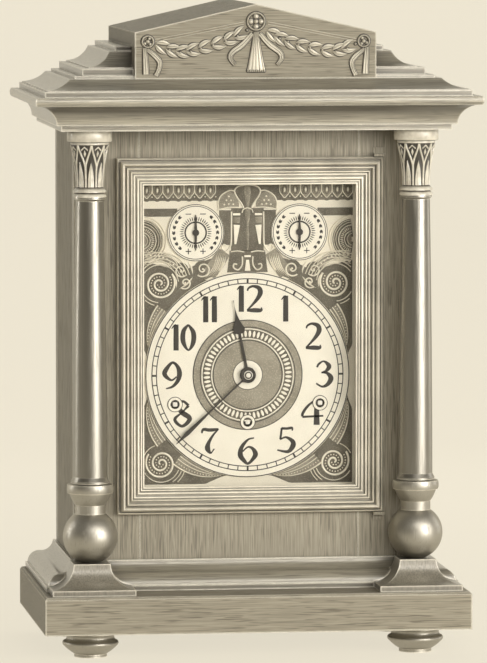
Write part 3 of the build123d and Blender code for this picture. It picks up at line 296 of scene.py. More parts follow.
dialSilver = {
    "colour": (0.88, 0.83, 0.7, 1), "aged": (0.74, 0.69, 0.56, 1), "cloud": (38.0, 4.0, 0.6),
    "specks": (900.0, 2.0), "cloudBand": (0.4, 0.75, 0.0, 0.5), "speckBand": (0.62, 0.72, 0.0, 0.3),
    "roughBand": (0.3, 0.7, 0.42, 0.55), "bump": (0.05, 0.0001),
}
plateSilver = dict(dialSilver, colour=(0.8, 0.745, 0.61, 1), aged=(0.64, 0.585, 0.46, 1))


def silveredFinish(name, look):
    material, tree, shader, point = startMaterial(name)
    cloud = noise(tree, point, *look["cloud"])
    specks = noise(tree, point, *look["specks"])
    colour = mixColour(tree, spread(tree, cloud, *look["cloudBand"]), look["colour"], look["aged"])
    feed(tree, shader, {
        "Base Color": mixColour(tree, spread(tree, specks, *look["speckBand"]), colour, look["aged"]),
        "Roughness": spread(tree, cloud, *look["roughBand"]),
        "Normal": bump(tree, specks, *look["bump"]),
    })
    return material


dialDisc = {
    "colour": (0.46, 0.42, 0.33, 1), "dark": (0.2, 0.18, 0.135, 1), "scale": 1000.0, "dots": 0.8,
    "hollowShade": 0.35, "hollowShadeReach": 0.0025, "roughBand": (0.0, 1.0, 0.45, 0.65), "metallic": 0.35,
    "bump": (0.3, 0.0002),
}
darkCasting = dict(dialDisc, colour=(0.25, 0.225, 0.17, 1), dark=(0.07, 0.062, 0.046, 1), scale=1150.0)
greyCasting = dict(dialDisc, colour=(0.42, 0.385, 0.3, 1), dark=(0.15, 0.133, 0.1, 1))


def punchedFinish(name, look):
    material, tree, shader, point = startMaterial(name)
    dots = useGroup(tree, stippleGroup, Vector=point, Scale=look["scale"])
    # painted shade in the hollows
    hollowShade = useGroup(tree, hollowShadeGroup, Distance=look["hollowShadeReach"])["Mask"]
    colour = mixColour(tree, times(tree, dots["Mask"], look["dots"]), look["colour"], look["dark"])
    feed(tree, shader, {
        "Base Color": mixColour(tree, times(tree, hollowShade, look["hollowShade"]), colour, look["dark"]),
        "Roughness": spread(tree, dots["Height"], *look["roughBand"]),
        "Normal": bump(tree, dots["Height"], *look["bump"]),
        "Metallic": look["metallic"],
    })
    return material


blackPaint = {
    "dark": (0.03, 0.026, 0.02, 1), "worn": (0.055, 0.047, 0.036, 1), "cloud": (120.0, 3.0),
    "roughBand": (0.3, 0.7, 0.38, 0.5),
}


def blackFinish(name, look=blackPaint):
    material, tree, shader, point = startMaterial(name)
    cloud = noise(tree, point, *look["cloud"])
    feed(tree, shader, {"Base Color": mixColour(tree, cloud, look["dark"], look["worn"]),
                        "Roughness": spread(tree, cloud, *look["roughBand"])})
    return material


clearGlass = {
    "colour": (0.99, 0.99, 0.98, 1), "ior": 1.12, "ripple": (14.0, 1.0), "roughBand": (0.3, 0.7, 0.0, 0.02),
}


def glassFinish(name, look):
    material, tree, shader, point = startMaterial(name)
    rough = spread(tree, noise(tree, point, *look["ripple"]), *look["roughBand"])
    feed(tree, shader, {"Base Color": look["colour"], "Transmission Weight": 1.0, "IOR": look["ior"],
                        "Roughness": rough})
    clear = addNode(tree, "ShaderNodeBsdfTransparent").outputs[0]
    shadow = addNode(tree, "ShaderNodeLightPath").outputs["Is Shadow Ray"]
    feed(tree, tree.nodes["Material Output"], {"Surface": mixShader(tree, shadow, shader.outputs[0], clear)})
    return material


carving = {
    "pale": (0.6, 0.55, 0.44, 1), "worn": (0.8, 0.75, 0.62, 1), "dark": (0.05, 0.043, 0.032, 1),
    "cloud": (210.0, 3.0), "paleBand": (0.35, 0.7), "reliefBand": (0.15, 0.75),
    "roughBand": (0.3, 0.7, 0.3, 0.45), "coat": 0.3, "bump": (0.1, 0.0002),
}


def carvedFinish(name, look):
    # carved wood: the relief attribute paints the sunk ground dark as painted shade, and what stands out
    # rubbed pale
    material, tree, shader, point = startMaterial(name)
    relief = addNode(tree, "ShaderNodeAttribute", attribute_name="relief").outputs["Fac"]
    cloud = noise(tree, point, *look["cloud"])
    pale = mixColour(tree, spread(tree, cloud, *look["paleBand"]), look["worn"], look["pale"])
    feed(tree, shader, {
        "Base Color": mixColour(tree, spread(tree, relief, *look["reliefBand"]), look["dark"], pale),
        "Roughness": spread(tree, cloud, *look["roughBand"]),
        "Normal": bump(tree, cloud, *look["bump"]),
        "Coat Weight": look["coat"],
    })
    return material


finishes = {
    "case_wood": woodFinish("caseWoodUpright", caseWood, "upright"),
    "turned_wood": woodFinish("turnedWood", turnedWood, "upright"),
    "gilt_trim": metalFinish("giltTrim", giltTrim),
    "clear_glass": glassFinish("clearGlass", clearGlass),
    "dial_brass": silveredFinish("plateSilver", plateSilver),
    "dial_silver": silveredFinish("dialSilver", dialSilver),
    "hand_black": blackFinish("handBlack"),
    "wheel_brass": metalFinish("wheelBrass", wheelBrass),
    "arbor_steel": metalFinish("arborSteel", arborSteel),
    "gong_iron": blackFinish("gongIron"),
}
acrossWood = woodFinish("caseWoodAcross", mouldedWood, "across")
plinthWood = woodFinish("plinthWood", coveWood, "upright")
lowFinish = woodFinish("lowWood", lowWood, "across")
sideFinish = woodFinish("sideWood", sideWood, "upright")
slabFinish = woodFinish("slabWood", slabWood, "across")
pivotWood = woodFinish("pivotWood", plainWood, "upright")
ballFinish = woodFinish("ballWood", ballWood, "upright")
discFinish = punchedFinish("dialDisc", dialDisc)
keyFinish = metalFinish("keySteel", keySteel)
castGround = punchedFinish("castGround", darkCasting)
castField = punchedFinish("castField", greyCasting)
castLine = metalFinish("castLine", raisedGilt)
reliefShade = blackFinish("reliefShade")
reliefGilt = metalFinish("reliefGilt", swagGilt)
carvedWood = carvedFinish("carvedWood", carving)
nodeFinish = {  # nodes that don't wear the plain finish of their slot
    "cornice": acrossWood, "seat_board": acrossWood, "lower_roof_step": lowFinish,
    "upper_roof_step": lowFinish, "base_moulding": lowFinish, "left_side": sideFinish,
    "right_side": sideFinish, "base_slab": slabFinish, "pediment_block": slabFinish,
    "bezel_pivots": pivotWood, "column_plinths": plinthWood, "column_bases": ballFinish, "feet": ballFinish,
    "dial_centre": discFinish, "hand_nut": keyFinish, "time_winding_arbor": keyFinish,
    "strike_winding_arbor": keyFinish, "chime_winding_arbor": keyFinish,
}
for row in frame["record"]["subparts"]:
    coats = nodes[row["node"]].data.materials
    coats.clear()
    coats.append(nodeFinish.get(row["node"], finishes[row["material_slot"]]))
print("finishes on every CAD node")


# Surfaces worked out as whole arrays, in millimetres, each a tuple of points, quads and end caps

def gridFaces(rows, columns, wrapRows=False):
    # quads between the neighbours of a grid of points whose last column meets its first
    down = np.arange(rows - (not wrapRows))
    row, column = np.meshgrid(down, np.arange(columns), indexing="ij")
    here, below = row * columns, (row + 1) % rows * columns
    after = (column + 1) % columns
    return np.stack((here + column, here + after, below + after, below + column), -1).reshape(-1, 4)


def endCaps(rows, columns):
    return np.stack((np.arange(columns), np.arange(columns)[::-1] + (rows - 1) * columns))


noCaps = np.empty((0, 4), int)
arc = np.linspace(0, np.pi, 7)
halfRound = np.stack((np.cos(arc), np.sin(arc)), -1)
flatTop = np.array([(1, 0), (1, 0.8), (0.9, 1), (-0.9, 1), (-1, 0.8), (-1, 0)])
leafRidge = np.array([(1, 0), (0.8, 0.5), (0.35, 0.6), (0, 1), (-0.35, 0.6), (-0.8, 0.5), (-1, 0)])
leafShape = {"from": 0.02, "to": 0.985, "stations": 9, "power": 0.8, "least": 0.03, "endRise": 0.35}
domeShape = {"climb": 0.46, "rings": 4}


def fullTurn(count):
    return np.linspace(0, 2 * np.pi, count, endpoint=False)


def heading(turn):
    # the way in x and z at a bearing from straight up, for one angle or an array of them
    return np.stack((np.sin(turn), np.cos(turn)), -1)


def smooth(points, perSpan=8):
    # a cubic through the points, each span leaving and arriving along the line between its neighbours
    points = np.asarray(points, float)
    last = len(points) - 1
    along = np.linspace(0, last, last * perSpan + 1)
    start = np.minimum(along.astype(int), last - 1)
    u = (along - start)[:, None]
    a, b, c, d = (points[np.clip(start + k, 0, last)] for k in (-1, 0, 1, 2))
    square, cube = 2 * a - 5 * b + 4 * c - d, 3 * b - a - 3 * c + d
    return 0.5 * (2 * b + (c - a) * u + square * u ** 2 + cube * u ** 3)


def carry(path, half, rise, seat, section=halfRound, closed=False):
    # a section carried along a path on a plate that faces -y: across by the path's normal, out by the rise
    path = np.asarray(path, float)[:, :2]
    half = np.broadcast_to(np.asarray(half, float), len(path))
    rise = np.broadcast_to(np.asarray(rise, float), len(path))
    step = np.roll(path, -1, 0) - np.roll(path, 1, 0) if closed else np.gradient(path, axis=0)
    step = step / np.linalg.norm(step, axis=1, keepdims=True)
    across = np.stack((-step[:, 1], step[:, 0]), -1)
    flat = path[:, None] + across[:, None] * (half[:, None] * section[:, 0])[..., None]
    points = np.stack((flat[..., 0], seat - rise[:, None] * section[:, 1], flat[..., 1]), -1).reshape(-1, 3)
    caps = noCaps if closed else endCaps(len(path), len(section))
    return points, gridFaces(len(path), len(section), closed), caps


def ring(centre, radius, half, rise, seat, section=halfRound, count=96):
    return carry(np.array(centre) + radius * heading(fullTurn(count)), half, rise, seat, section, True)


def stud(centre, half, rise, seat, lean=0.0, sides=12):
    # a dome on an oval: rings shrink by the cosine and rise by the sine, the oval turned by lean
    rings = domeShape["rings"]
    climb = np.linspace(0, domeShape["climb"] * np.pi, rings)[:, None]
    turn = fullTurn(sides)
    across, along = half[0] * np.cos(climb) * np.cos(turn), half[1] * np.cos(climb) * np.sin(turn)
    x = centre[0] + across * math.cos(lean) + along * math.sin(lean)
    z = centre[1] - across * math.sin(lean) + along * math.cos(lean)
    y = np.broadcast_to(seat - rise * np.sin(climb), x.shape)
    return np.stack((x, y, z), -1).reshape(-1, 3), gridFaces(rings, sides), endCaps(rings, sides)


def leaf(root, tip, half, rise, seat, bend=0.0):
    # a pointed leaf: its half width swells and dies as a sine, its midrib bows sideways by bend
    t = np.linspace(leafShape["from"], leafShape["to"], leafShape["stations"])
    root, tip = np.array(root, float), np.array(tip, float)
    side = np.array([root[1] - tip[1], tip[0] - root[0]]) * bend
    path = root + (tip - root) * t[:, None] + side * np.sin(np.pi * t)[:, None]
    swell = np.sin(np.pi * t ** leafShape["power"])
    low = leafShape["endRise"]
    return carry(path, half * swell + leafShape["least"], rise * (low + (1 - low) * swell), seat, leafRidge)


def mirrored(parts):
    return parts + [(points * (-1, 1, 1), quads, caps) for points, quads, caps in parts]


def newPiece(name, parts, body, slot, material=None, replaces=(), sharp=38.0, relief=None):
    # one object from all the parts, in the plain finish of its slot where no material is given
    starts = np.cumsum([0] + [len(part[0]) for part in parts[:-1]])
    points = np.concatenate([part[0] for part in parts]) * mm
    faces = np.concatenate([part[1] + start for part, start in zip(parts, starts)]).tolist()
    for part, start in zip(parts, starts):
        faces += (part[2] + start).tolist()
    mesh = bpy.data.meshes.new(name)
    mesh.from_pydata(points.tolist(), [], faces)
    if relief is not None:
        mesh.attributes.new("relief", "FLOAT", "POINT").data.foreach_set("value", relief)
    work = bmesh.new()
    work.from_mesh(mesh)
    bmesh.ops.recalc_face_normals(work, faces=work.faces)
    work.to_mesh(mesh)
    work.free()
    mesh.shade_smooth()
    mesh.set_sharp_from_angle(angle=math.radians(sharp))
    mesh.materials.append(finishes[slot] if material is None else material)
    piece = bpy.data.objects.new(name, mesh)
    bpy.context.scene.collection.objects.link(piece)
    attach(piece, body)
    if replaces:
        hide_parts(*replaces)
    return piece


def boxOf(node):
    return tuple(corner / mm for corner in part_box(node))


def frontOf(node):
    return boxOf(node)[0].y


def middleOf(node):
    low, high = boxOf(node)
    middle = (low + high) / 2
    return np.array([middle.x, middle.z])


# Chapter ring: minute track, numerals and winding collets

ringLow, ringHigh = boxOf("chapter_ring")
dialMiddle = middleOf("chapter_ring")
ringFront, discFront = ringLow.y, frontOf("dial_centre")
dialSize = {
    "edge": 72.5, "trackOuter": 68.2, "trackInner": 65.0, "line": 0.34, "lineSides": 180, "tick": 0.36,
    "hourTick": 0.68, "ink": 0.08, "weight": 1.28, "numeralRadius": 54.0, "perSpan": 10,
    "digitPitch": {"10": 8.9, "11": 6.2, "12": 9.4},
}
digitStrokes = {  # x, z and width along each stroke of a digit
    "1": [[(-2.9, 6.3, 0.5), (-1.6, 7.9, 0.8), (0.2, 9.1, 1.0)],
          [(0.2, 9.2, 2.7), (0.2, 0, 2.9), (0.2, -9.2, 2.9)]],
    "2": [[(-4.9, 5.6, 0.9), (-3.9, 7.6, 1.1), (-0.8, 8.9, 1.4), (3.2, 7.6, 2.4), (4.4, 4.4, 2.8),
           (2.6, 0.4, 2.2), (-1.2, -4.2, 1.3), (-4.9, -8, 0.9)],
          [(-5.2, -8.2, 1.4), (0, -8.2, 2.4), (4.6, -8.2, 2.0), (5.2, -6.2, 0.5)]],
    "3": [[(-4.4, 4.8, 1), (-3, 7.2, 1.2), (0.6, 9, 1), (4.2, 5.6, 2.6), (2.2, 2.2, 1.6), (-1.2, 1, 0.8)],
          [(-1.2, 1, 0.8), (2.8, 0.6, 1.6), (5.6, -3, 2.9), (3.4, -7.2, 2.2), (-0.6, -9, 1.2),
           (-5, -6.6, 0.9)]],
    "4": [[(2.2, 9, 0.9), (-3.6, 4.4, 1.4), (-7.2, -0.6, 1.6), (-7.6, -3.2, 1.2)],
          [(-7.6, -3.4, 1.3), (7.4, -2.8, 1)],
          [(2.6, 9, 1.4), (2.6, 4, 2.6), (2.6, -9.2, 3.4)]],
    "5": [[(-2.8, 8.4, 1.4), (1.2, 8.2, 1.4), (4.6, 8.6, 1.4), (5, 6.6, 0.7)],
          [(-2.6, 8.6, 1.2), (-3.6, 0.6, 1.2)],
          [(-3.8, 0.4, 0.8), (0.4, 2, 1.2), (5, -0.8, 2.4), (5.4, -4.2, 2.9), (1.8, -8.2, 1.8),
           (-5.8, -7, 0.8)]],
    "6": [[(4.6, 9, 0.8), (0.2, 7.8, 1.2), (-4.2, 2.6, 2.2), (-5.2, -3, 2.9), (-2.6, -7, 2.2),
           (0.2, -9.2, 1.4), (3.6, -6.2, 2), (5.6, -2.4, 2.8), (3.6, 1.4, 1.8), (0.2, 2.6, 1),
           (-3.6, -0.6, 0.8)]],
    "7": [[(-5.8, 5.6, 0.9), (-4.6, 8.2, 1.6), (-0.6, 7.8, 1.9), (3.4, 8, 1.7), (6.2, 8.6, 0.8)],
          [(6.2, 8.4, 0.8), (2.4, 4.2, 1.2), (-0.8, -1.2, 2), (-1.6, -5.4, 3), (0.6, -9, 1)],
          [(0.6, -9, 0.8), (3.2, -5.6, 0.7)]],
    "8": [[(4.6, 5.6, 1.6), (0.6, 8.6, 1.4), (-3.6, 5.6, 1.8), (0, 0.8, 2.8), (5.4, -3.8, 2.6),
           (0, -9, 1.6), (-5.2, -4.2, 1.8), (0.2, 1, 0.9), (4.6, 5.6, 1.6)]],
    "9": [[(3.4, -0.8, 0.8), (-0.4, -3.2, 1.2), (-4.8, 0.2, 2.4), (-4.6, 3.6, 2.6), (0.2, 9.2, 1.4),
           (4, 6.4, 2), (5.4, 1.6, 2.8), (4.2, -3.6, 2.2), (0.4, -7.8, 1.4), (-4.2, -9.2, 0.7)]],
    "0": [[(0, 9, 1), (-3.4, 4.4, 2.5), (-3.6, -3, 2.6), (0, -9, 1), (3.4, -4, 2.5), (3.6, 3.4, 2.6),
           (0, 9, 1)]],
}


def drawNumeral(number, centre, size):
    parts = []
    pitch = size["digitPitch"].get(number, 0)
    for place, digit in enumerate(number):
        shift = centre + np.array([(place - (len(number) - 1) / 2) * pitch, 0])
        for stroke in digitStrokes[digit]:
            path = smooth(stroke, size["perSpan"])
            half = path[:, 2] / 2 * size["weight"]
            parts.append(carry(path[:, :2] + shift, half, size["ink"], ringFront, flatTop))
    return parts


def makeChapterMarks(size):
    ink = size["ink"]
    marks = [ring(dialMiddle, size[key], size["line"], ink, ringFront, flatTop, size["lineSides"])
             for key in ("edge", "trackOuter", "trackInner")]
    for minute in range(60):
        way = heading(minute * math.pi / 30)
        ends = [dialMiddle + way * size[key] for key in ("trackInner", "trackOuter")]
        half = size["tick"] if minute % 5 else size["hourTick"]
        marks.append(carry(ends, half, ink, ringFront, flatTop))
    for hour in range(1, 13):
        centre = dialMiddle + heading(hour * math.pi / 6) * size["numeralRadius"]
        marks += drawNumeral(str(hour), centre, size)
    newPiece("chapterMarks", marks, "case", "hand_black")


makeChapterMarks(dialSize)

collet = {
    "radius": 4.1, "half": 0.95, "rise": 0.5, "lines": (5.2, 3.0), "line": 0.24, "ink": 0.55, "sides": 48,
}


def makeCollets(size):
    rims, lines = [], []
    for train, front in (("time", discFront), ("strike", ringFront), ("chime", ringFront)):
        middle = middleOf(train + "_winding_arbor")
        rims.append(ring(middle, size["radius"], size["half"], size["rise"], front, flatTop, size["sides"]))
        for radius in size["lines"]:
            lines.append(ring(middle, radius, size["line"], size["ink"], front, flatTop, size["sides"]))
    newPiece("windingCollets", rims, "case", "dial_silver")
    newPiece("colletLines", lines, "case", "hand_black")


makeCollets(collet)

windingTip = {  # the profile gives the distance behind the front and the share of the half width
    "half": 1.75, "corner": 0.5, "front": -27.4,
    "profile": ((5.4, 1.0), (0.5, 1.0), (0.1, 0.9), (0.0, 0.7)), "sides": 32,
}


def makeWindingTips(size):
    # the square end of each winding arbor: a rounded square, straight and then drawn in at the tip
    turn = fullTurn(size["sides"])
    square = np.stack((np.cos(turn), np.sin(turn)), -1)
    square = np.sign(square) * np.abs(square) ** size["corner"] * size["half"]
    for train in ("time", "strike", "chime"):
        rows = []
        for behind, share in size["profile"]:
            x, z = (middleOf(train + "_winding_arbor") + square * share).T
            rows.append(np.stack((x, np.full(len(x), size["front"] + behind), z), -1))
        part = (np.concatenate(rows), gridFaces(len(rows), size["sides"]), endCaps(len(rows), size["sides"]))
        newPiece(train + "WindingTip", [part], train + "_arbor", "arbor_steel", keyFinish)


makeWindingTips(windingTip)

centreDisc = {
    "lines": (38.9, 33.9, 24.6), "line": 0.3, "ink": 0.1, "eggOuter": 32.6, "eggInner": 25.7, "eggs": 60,
    "egg": (1.0, 2.5), "eggRise": 0.35, "eggSides": 10, "rib": 0.4, "ribRise": 0.25, "bandHalf": 3.3,
    "bandRise": 0.05, "boss": 7.9, "bossHalf": 2.3, "bossRise": 0.3, "bossLine": 10.4, "bossSides": 96,
    "sides": 144,
}


def makeCentreDisc(size):
    def band(radius, half, rise, section=flatTop, sides=size["sides"]):
        return ring(dialMiddle, radius, half, rise, discFront, section, sides)

    dark = [band(radius, size["line"], size["ink"]) for radius in size["lines"]]
    dark.append(band(size["bossLine"], size["line"], size["ink"], sides=size["bossSides"]))
    pale = [band(size[key], size["rib"], size["ribRise"], halfRound) for key in ("eggOuter", "eggInner")]
    radius = (size["eggOuter"] + size["eggInner"]) / 2
    for place in range(size["eggs"]):
        turn = (place + 0.5) * 2 * math.pi / size["eggs"]
        spot = dialMiddle + radius * heading(turn)
        pale.append(stud(spot, size["egg"], size["eggRise"], discFront, turn, size["eggSides"]))
    pale.append(band(size["boss"], size["bossHalf"], size["bossRise"], sides=size["bossSides"]))
    ground = [band(radius, size["bandHalf"], size["bandRise"])]
    newPiece("eggGround", ground, "case", "dial_brass", castGround)
    newPiece("centreDiscLines", dark, "case", "hand_black")
    newPiece("eggBand", pale, "case", "dial_silver")


makeCentreDisc(centreDisc)

nutEnd = {
    "end": 1.5, "endRise": 0.3, "endSunk": 0.05, "endSides": 24, "ring": 2.15, "ringHalf": 0.42,
    "ringRise": 0.25, "ringSunk": 0.15, "boss": 4.75, "bossHalf": 0.75, "sides": 48,
}


def makeNutEnd(size):
    # the domed end of the arbor, a dark ring round it on the nut, and the dark boss of the minute hand
    nut, rise, sides = frontOf("hand_nut"), size["ringRise"], size["sides"]
    end = stud(dialMiddle, (size["end"],) * 2, size["endRise"], nut + size["endSunk"], 0.0, size["endSides"])
    rings = [ring(dialMiddle, size["ring"], size["ringHalf"], rise, nut + size["ringSunk"], flatTop, sides),
             ring(dialMiddle, size["boss"], size["bossHalf"], rise, frontOf("minute_hand"), flatTop, sides)]
    newPiece("nutEnd", [end], "centre", "arbor_steel", keyFinish)
    newPiece("nutRings", rings, "centre", "hand_black")


makeNutEnd(nutEnd)

minuteBlade = {  # the stations give the distance from the middle and the half width there
    "bearing": 226.6, "stations": ((2.9, 0.66), (35.35, 0.5), (59.4, 1.55), (70.7, 0.12)),
    "collar": (2.55, 3.9), "sides": 48,
}


def makeMinuteBlade(size):
    # a lance on a collar: its half width runs straight from station to station along the hand
    low, high = boxOf("minute_hand")
    reach, half = np.array(size["stations"]).T
    path = dialMiddle + reach[:, None] * heading(math.radians(size["bearing"]))
    inner, outer = size["collar"]
    thick = high.y - low.y
    blade = carry(path, half, thick, high.y, flatTop)
    collar = ring(dialMiddle, (inner + outer) / 2, (outer - inner) / 2, thick, high.y, flatTop, size["sides"])
    newPiece("minuteBlade", [blade, collar], "centre", "hand_black", replaces=("minute_hand",))


makeMinuteBlade(minuteBlade)

smallDial = {
    "rings": ((19.9, 0.24), (18.7, 0.24), (7.5, 0.55)), "tickIn": 8.3, "tickOut": 11.6, "ticks": 40,
    "tick": 0.34, "dash": 15.6, "dashSpan": 44.0, "dashes": 7, "dashHalf": 0.7, "dashBack": 1.5,
    "dashAhead": 1.3, "dashLean": 0.8, "sign": 14.6, "signAside": 5.2, "signInward": 1.4, "signHalf": 2.0,
    "signLine": 0.32, "ink": 0.08, "at": (-37.0, 295.7), "rim": 20.7,
}


def makeSmallDials(size):
    front, ink = frontOf("small_dials"), size["ink"]
    parts = []
    for node in ("rate_pointer", "chime_pointer"):
        middle = np.array([middleOf(node)[0], middleOf("small_dials")[1]])
        parts += [ring(middle, radius, half, ink, front, flatTop) for radius, half in size["rings"]]
        for place in range(size["ticks"]):
            way = heading((place + 0.5) * 2 * math.pi / size["ticks"])
            root, tip = (middle + way * size[key] for key in ("tickIn", "tickOut"))
            parts.append(leaf(root, tip, size["tick"], ink, front))
        for side in (-1, 1):
            for place in range(size["dashes"]):  # a curved spray of short leaves on each side
                turn = math.radians(90 + size["dashSpan"] * (place / (size["dashes"] - 1) * 2 - 1)) * side
                way, over = heading(turn), heading(turn + math.pi / 2)
                root = middle + way * size["dash"] - over * size["dashBack"]
                ahead = middle + way * size["dash"] + over * size["dashAhead"]
                for lean in (-size["dashLean"], size["dashLean"]):
                    parts.append(leaf(root, ahead + way * lean, size["dashHalf"], ink, front))
        for end, strokes in ((1, ((1, 0),)), (-1, ((1, 0), (0, 1)))):  # a minus above and a plus below
            for aside in (size["signAside"], -size["signAside"]):
                spot = middle + np.array([aside, end * (size["sign"] - size["signInward"])])
                for stroke in strokes:
                    reach = np.array(stroke) * size["signHalf"]
                    parts.append(carry([spot - reach, spot + reach], size["signLine"], ink, front, flatTop))
    newPiece("smallDialMarks", parts, "case", "hand_black")


makeSmallDials(smallDial)
print("dial marks drawn")

# Cast ornaments of the dial plate: dark punched grounds, grey fields and pale raised lines

sightLow, sightHigh = (np.array([corner.x, corner.z]) for corner in boxOf("dial_ornaments"))
plateFront = boxOf("dial_ornaments")[1].y
rimRadius = (ringHigh.x - ringLow.x) / 2
castRise = {
    "fill": 0.2, "fan": 0.25, "ground": 0.3, "shade": 0.36, "field": 0.42, "core": 0.65, "bead": 0.8075,
    "line": 0.95,
}
castPoints = {"turn": 40, "ring": 40, "fill": 60, "disc": 36, "knob": 12, "bead": 10}


def raised(path, half):
    return carry(path, half, castRise["line"], plateFront)


def sheet(path, half, layer="line"):
    return carry(path, half, castRise[layer], plateFront, flatTop)


def line(points, half):
    return raised(smooth(points), half)


def patch(points, half, layer="ground"):
    # a flat stroke whose half width runs through the given values as its path runs through the points
    path = smooth(points)
    given = np.broadcast_to(np.asarray(half, float), len(points))
    spots = np.linspace(0, len(points) - 1, len(path))
    return sheet(path, np.interp(spots, np.arange(len(points)), given), layer)


def knob(spot, half, layer="line", sides=castPoints["knob"]):
    return stud(spot, half, castRise[layer], plateFront, 0.0, sides)


def disc(x, z, reach):
    return knob((x, z), (reach, reach), "ground", castPoints["disc"])


def bead(x, z, reach):
    return knob((x, z), (reach, reach), "bead", castPoints["bead"])


def frond(root, tip, half, bend=0.0):
    return leaf(root, tip, half, castRise["line"], plateFront, bend)


def spiral(centre, reach, pitch, turns, start, hand):
    # the radius falls by one pitch in each turn
    turn = np.linspace(0, turns * 2 * np.pi, int(turns * castPoints["turn"]))
    radius = reach - pitch * turn / (2 * np.pi)
    return np.array(centre) + radius[:, None] * heading(start + hand * turn)


def aroundRing(start, end, out, count=castPoints["ring"]):
    # points along the chapter ring from one bearing to another, out from its rim by the given distance
    way = heading(np.radians(np.linspace(start, end, count)))
    return dialMiddle + way * (rimRadius + np.broadcast_to(out, count))[:, None]


def beadsAlong(path, pitch, reach):
    length = np.concatenate(([0], np.cumsum(np.linalg.norm(np.diff(path, axis=0), axis=1))))
    spots = np.arange(pitch / 2, length[-1], pitch)
    x, z = (np.interp(spots, length, column) for column in path.T)
    return [bead(*spot, reach) for spot in zip(x, z)]


def beside(path, distance):
    step = np.gradient(path, axis=0)
    across = np.stack((-step[:, 1], step[:, 0]), -1) / np.linalg.norm(step, axis=1, keepdims=True)
    return path + across * np.broadcast_to(distance, len(path))[:, None]


cornerScroll = {
    "places": ((-62.6, 259.7, 1), (-61.8, 132.2, -1)), "reach": 11.2, "pitch": 4.7, "turns": 2.25,
    "start": 0.9, "half": 0.8, "rim": 0.8, "bead": 0.58, "beadPitch": 2.0, "beadTurns": 1.65,
    "halos": (13.4, 15.6, 17.8, 20.0, 22.2), "haloHalf": 0.42, "haloMargin": 1.0, "haloClear": 9.0,
    "haloLeast": 3, "fills": ((192, 258, 36.0), (281, 337, 38.0)), "taper": 0.36, "fillPower": 1.4,
    "fillLeast": 0.01, "fillGap": (0.3, 0.4), "fillMargin": 0.3,
}


def halo(centre, size):
    # arcs round a spiral, kept where they clear the door's edge, the chapter ring and its leaves
    parts = []
    margin = size["haloMargin"]
    for radius in size["halos"]:
        path = spiral(centre, radius, 0.0, 1.0, 0.0, 1)
        inside = np.all((path > sightLow + margin) & (path < sightHigh - margin), axis=1)
        clear = inside & (np.linalg.norm(path - dialMiddle, axis=1) > rimRadius + size["haloClear"])
        for run in np.split(np.arange(len(path)), np.nonzero(np.diff(clear))[0] + 1):
            if clear[run[0]] and len(run) > size["haloLeast"]:
                parts.append(raised(path[run], size["haloHalf"]))
    return parts


def cornerFill(start, end, reach, size, count=castPoints["fill"]):
    # a flat sheet between the chapter ring and a radius that swells by reach and dies away at both
    # bearings, every point brought inside the sight of the door
    t = np.linspace(0, 1, count)
    swell = np.clip(np.minimum(t, 1 - t) / size["taper"], size["fillLeast"], 1) ** size["fillPower"]
    near, far = size["fillGap"]
    inner, outer = aroundRing(start, end, near, count), aroundRing(start, end, far + reach * swell, count)
    deep, top = np.full(count, plateFront), np.full(count, plateFront - castRise["fill"])
    rows = [np.stack((path[:, 0], depth, path[:, 1]), -1)
            for path, depth in ((inner, deep), (inner, top), (outer, top), (outer, deep))]
    points = np.stack(rows, 1).reshape(-1, 3)
    margin = size["fillMargin"]
    points[:, ::2] = np.clip(points[:, ::2], sightLow + margin, sightHigh - margin)
    return points, gridFaces(count, len(rows)), endCaps(count, len(rows))


def cornerSpirals(size):
    dark, pale = [], []
    reach, pitch = size["reach"], size["pitch"]
    for x, z, hand in size["places"]:
        start = hand * size["start"]
        dark.append(disc(x, z, reach + size["rim"]))
        pale.append(raised(spiral((x, z), reach, pitch, size["turns"], start, hand), size["half"]))
        between = spiral((x, z), reach - pitch / 2, pitch, size["beadTurns"], start, hand)
        pale += beadsAlong(between, size["beadPitch"], size["bead"])
        pale += halo((x, z), size)
    dark += [cornerFill(*span, size) for span in size["fills"]]
    return dark, [], pale


ringLeaves = {
    # bearing of the root, bearing of the tip, half width at the root
    "spans": ((220, 195, 4.7), (232, 255, 4.3), (308, 286, 4.1)),
    # how far out each row lies as a share of that width, and for the lines also their own half width
    "middle": 1.0, "beadRow": 1.35, "lines": ((0.3, 0.36), (0.85, 0.36), (1.85, 0.5)),
    "clear": 0.5, "fade": (0.02, 0.8), "fieldTip": 0.05, "lineTip": 0.08, "bead": 0.5, "beadPitch": 2.1,
}


def ringCrescents(size):
    # leaves that follow the chapter ring: their width dies away as a sine towards the tip
    mid, pale = [], []
    end, power = size["fade"]
    fade = np.sin(np.linspace(0.5 * np.pi, end, castPoints["ring"])) ** power
    for root, tip, swell in size["spans"]:
        wide = swell * fade
        middle = aroundRing(root, tip, size["clear"] + wide * size["middle"])
        mid.append(sheet(middle, wide + size["fieldTip"], "field"))
        for share, half in size["lines"]:
            path = aroundRing(root, tip, size["clear"] + wide * share)
            pale.append(raised(path, half * fade + size["lineTip"]))
        beadRow = aroundRing(root, tip, size["clear"] + wide * size["beadRow"])
        pale += beadsAlong(beadRow, size["beadPitch"], size["bead"])
    return [], mid, pale


shields = {
    "pitch": 7.55, "count": 20, "skip": 20.0, "half": 3.5, "waist": 1.925, "top": 329.7, "shoulder": 324.4,
    "flank": 321.9, "tip": 320.1, "ground": (324.2, 5.9), "scallop": (2.7, 2.2), "scallopAt": 319.9,
    "field": 2.9, "fieldFoot": (320.7, 0.4), "line": 0.42, "eyeAt": 325.7, "eye": (1.55, 3.1),
    "eyeLine": 0.4, "eyeSides": 24, "core": (0.8, 1.8), "beadAt": 321.0, "bead": 0.6, "scallopSides": 16,
}


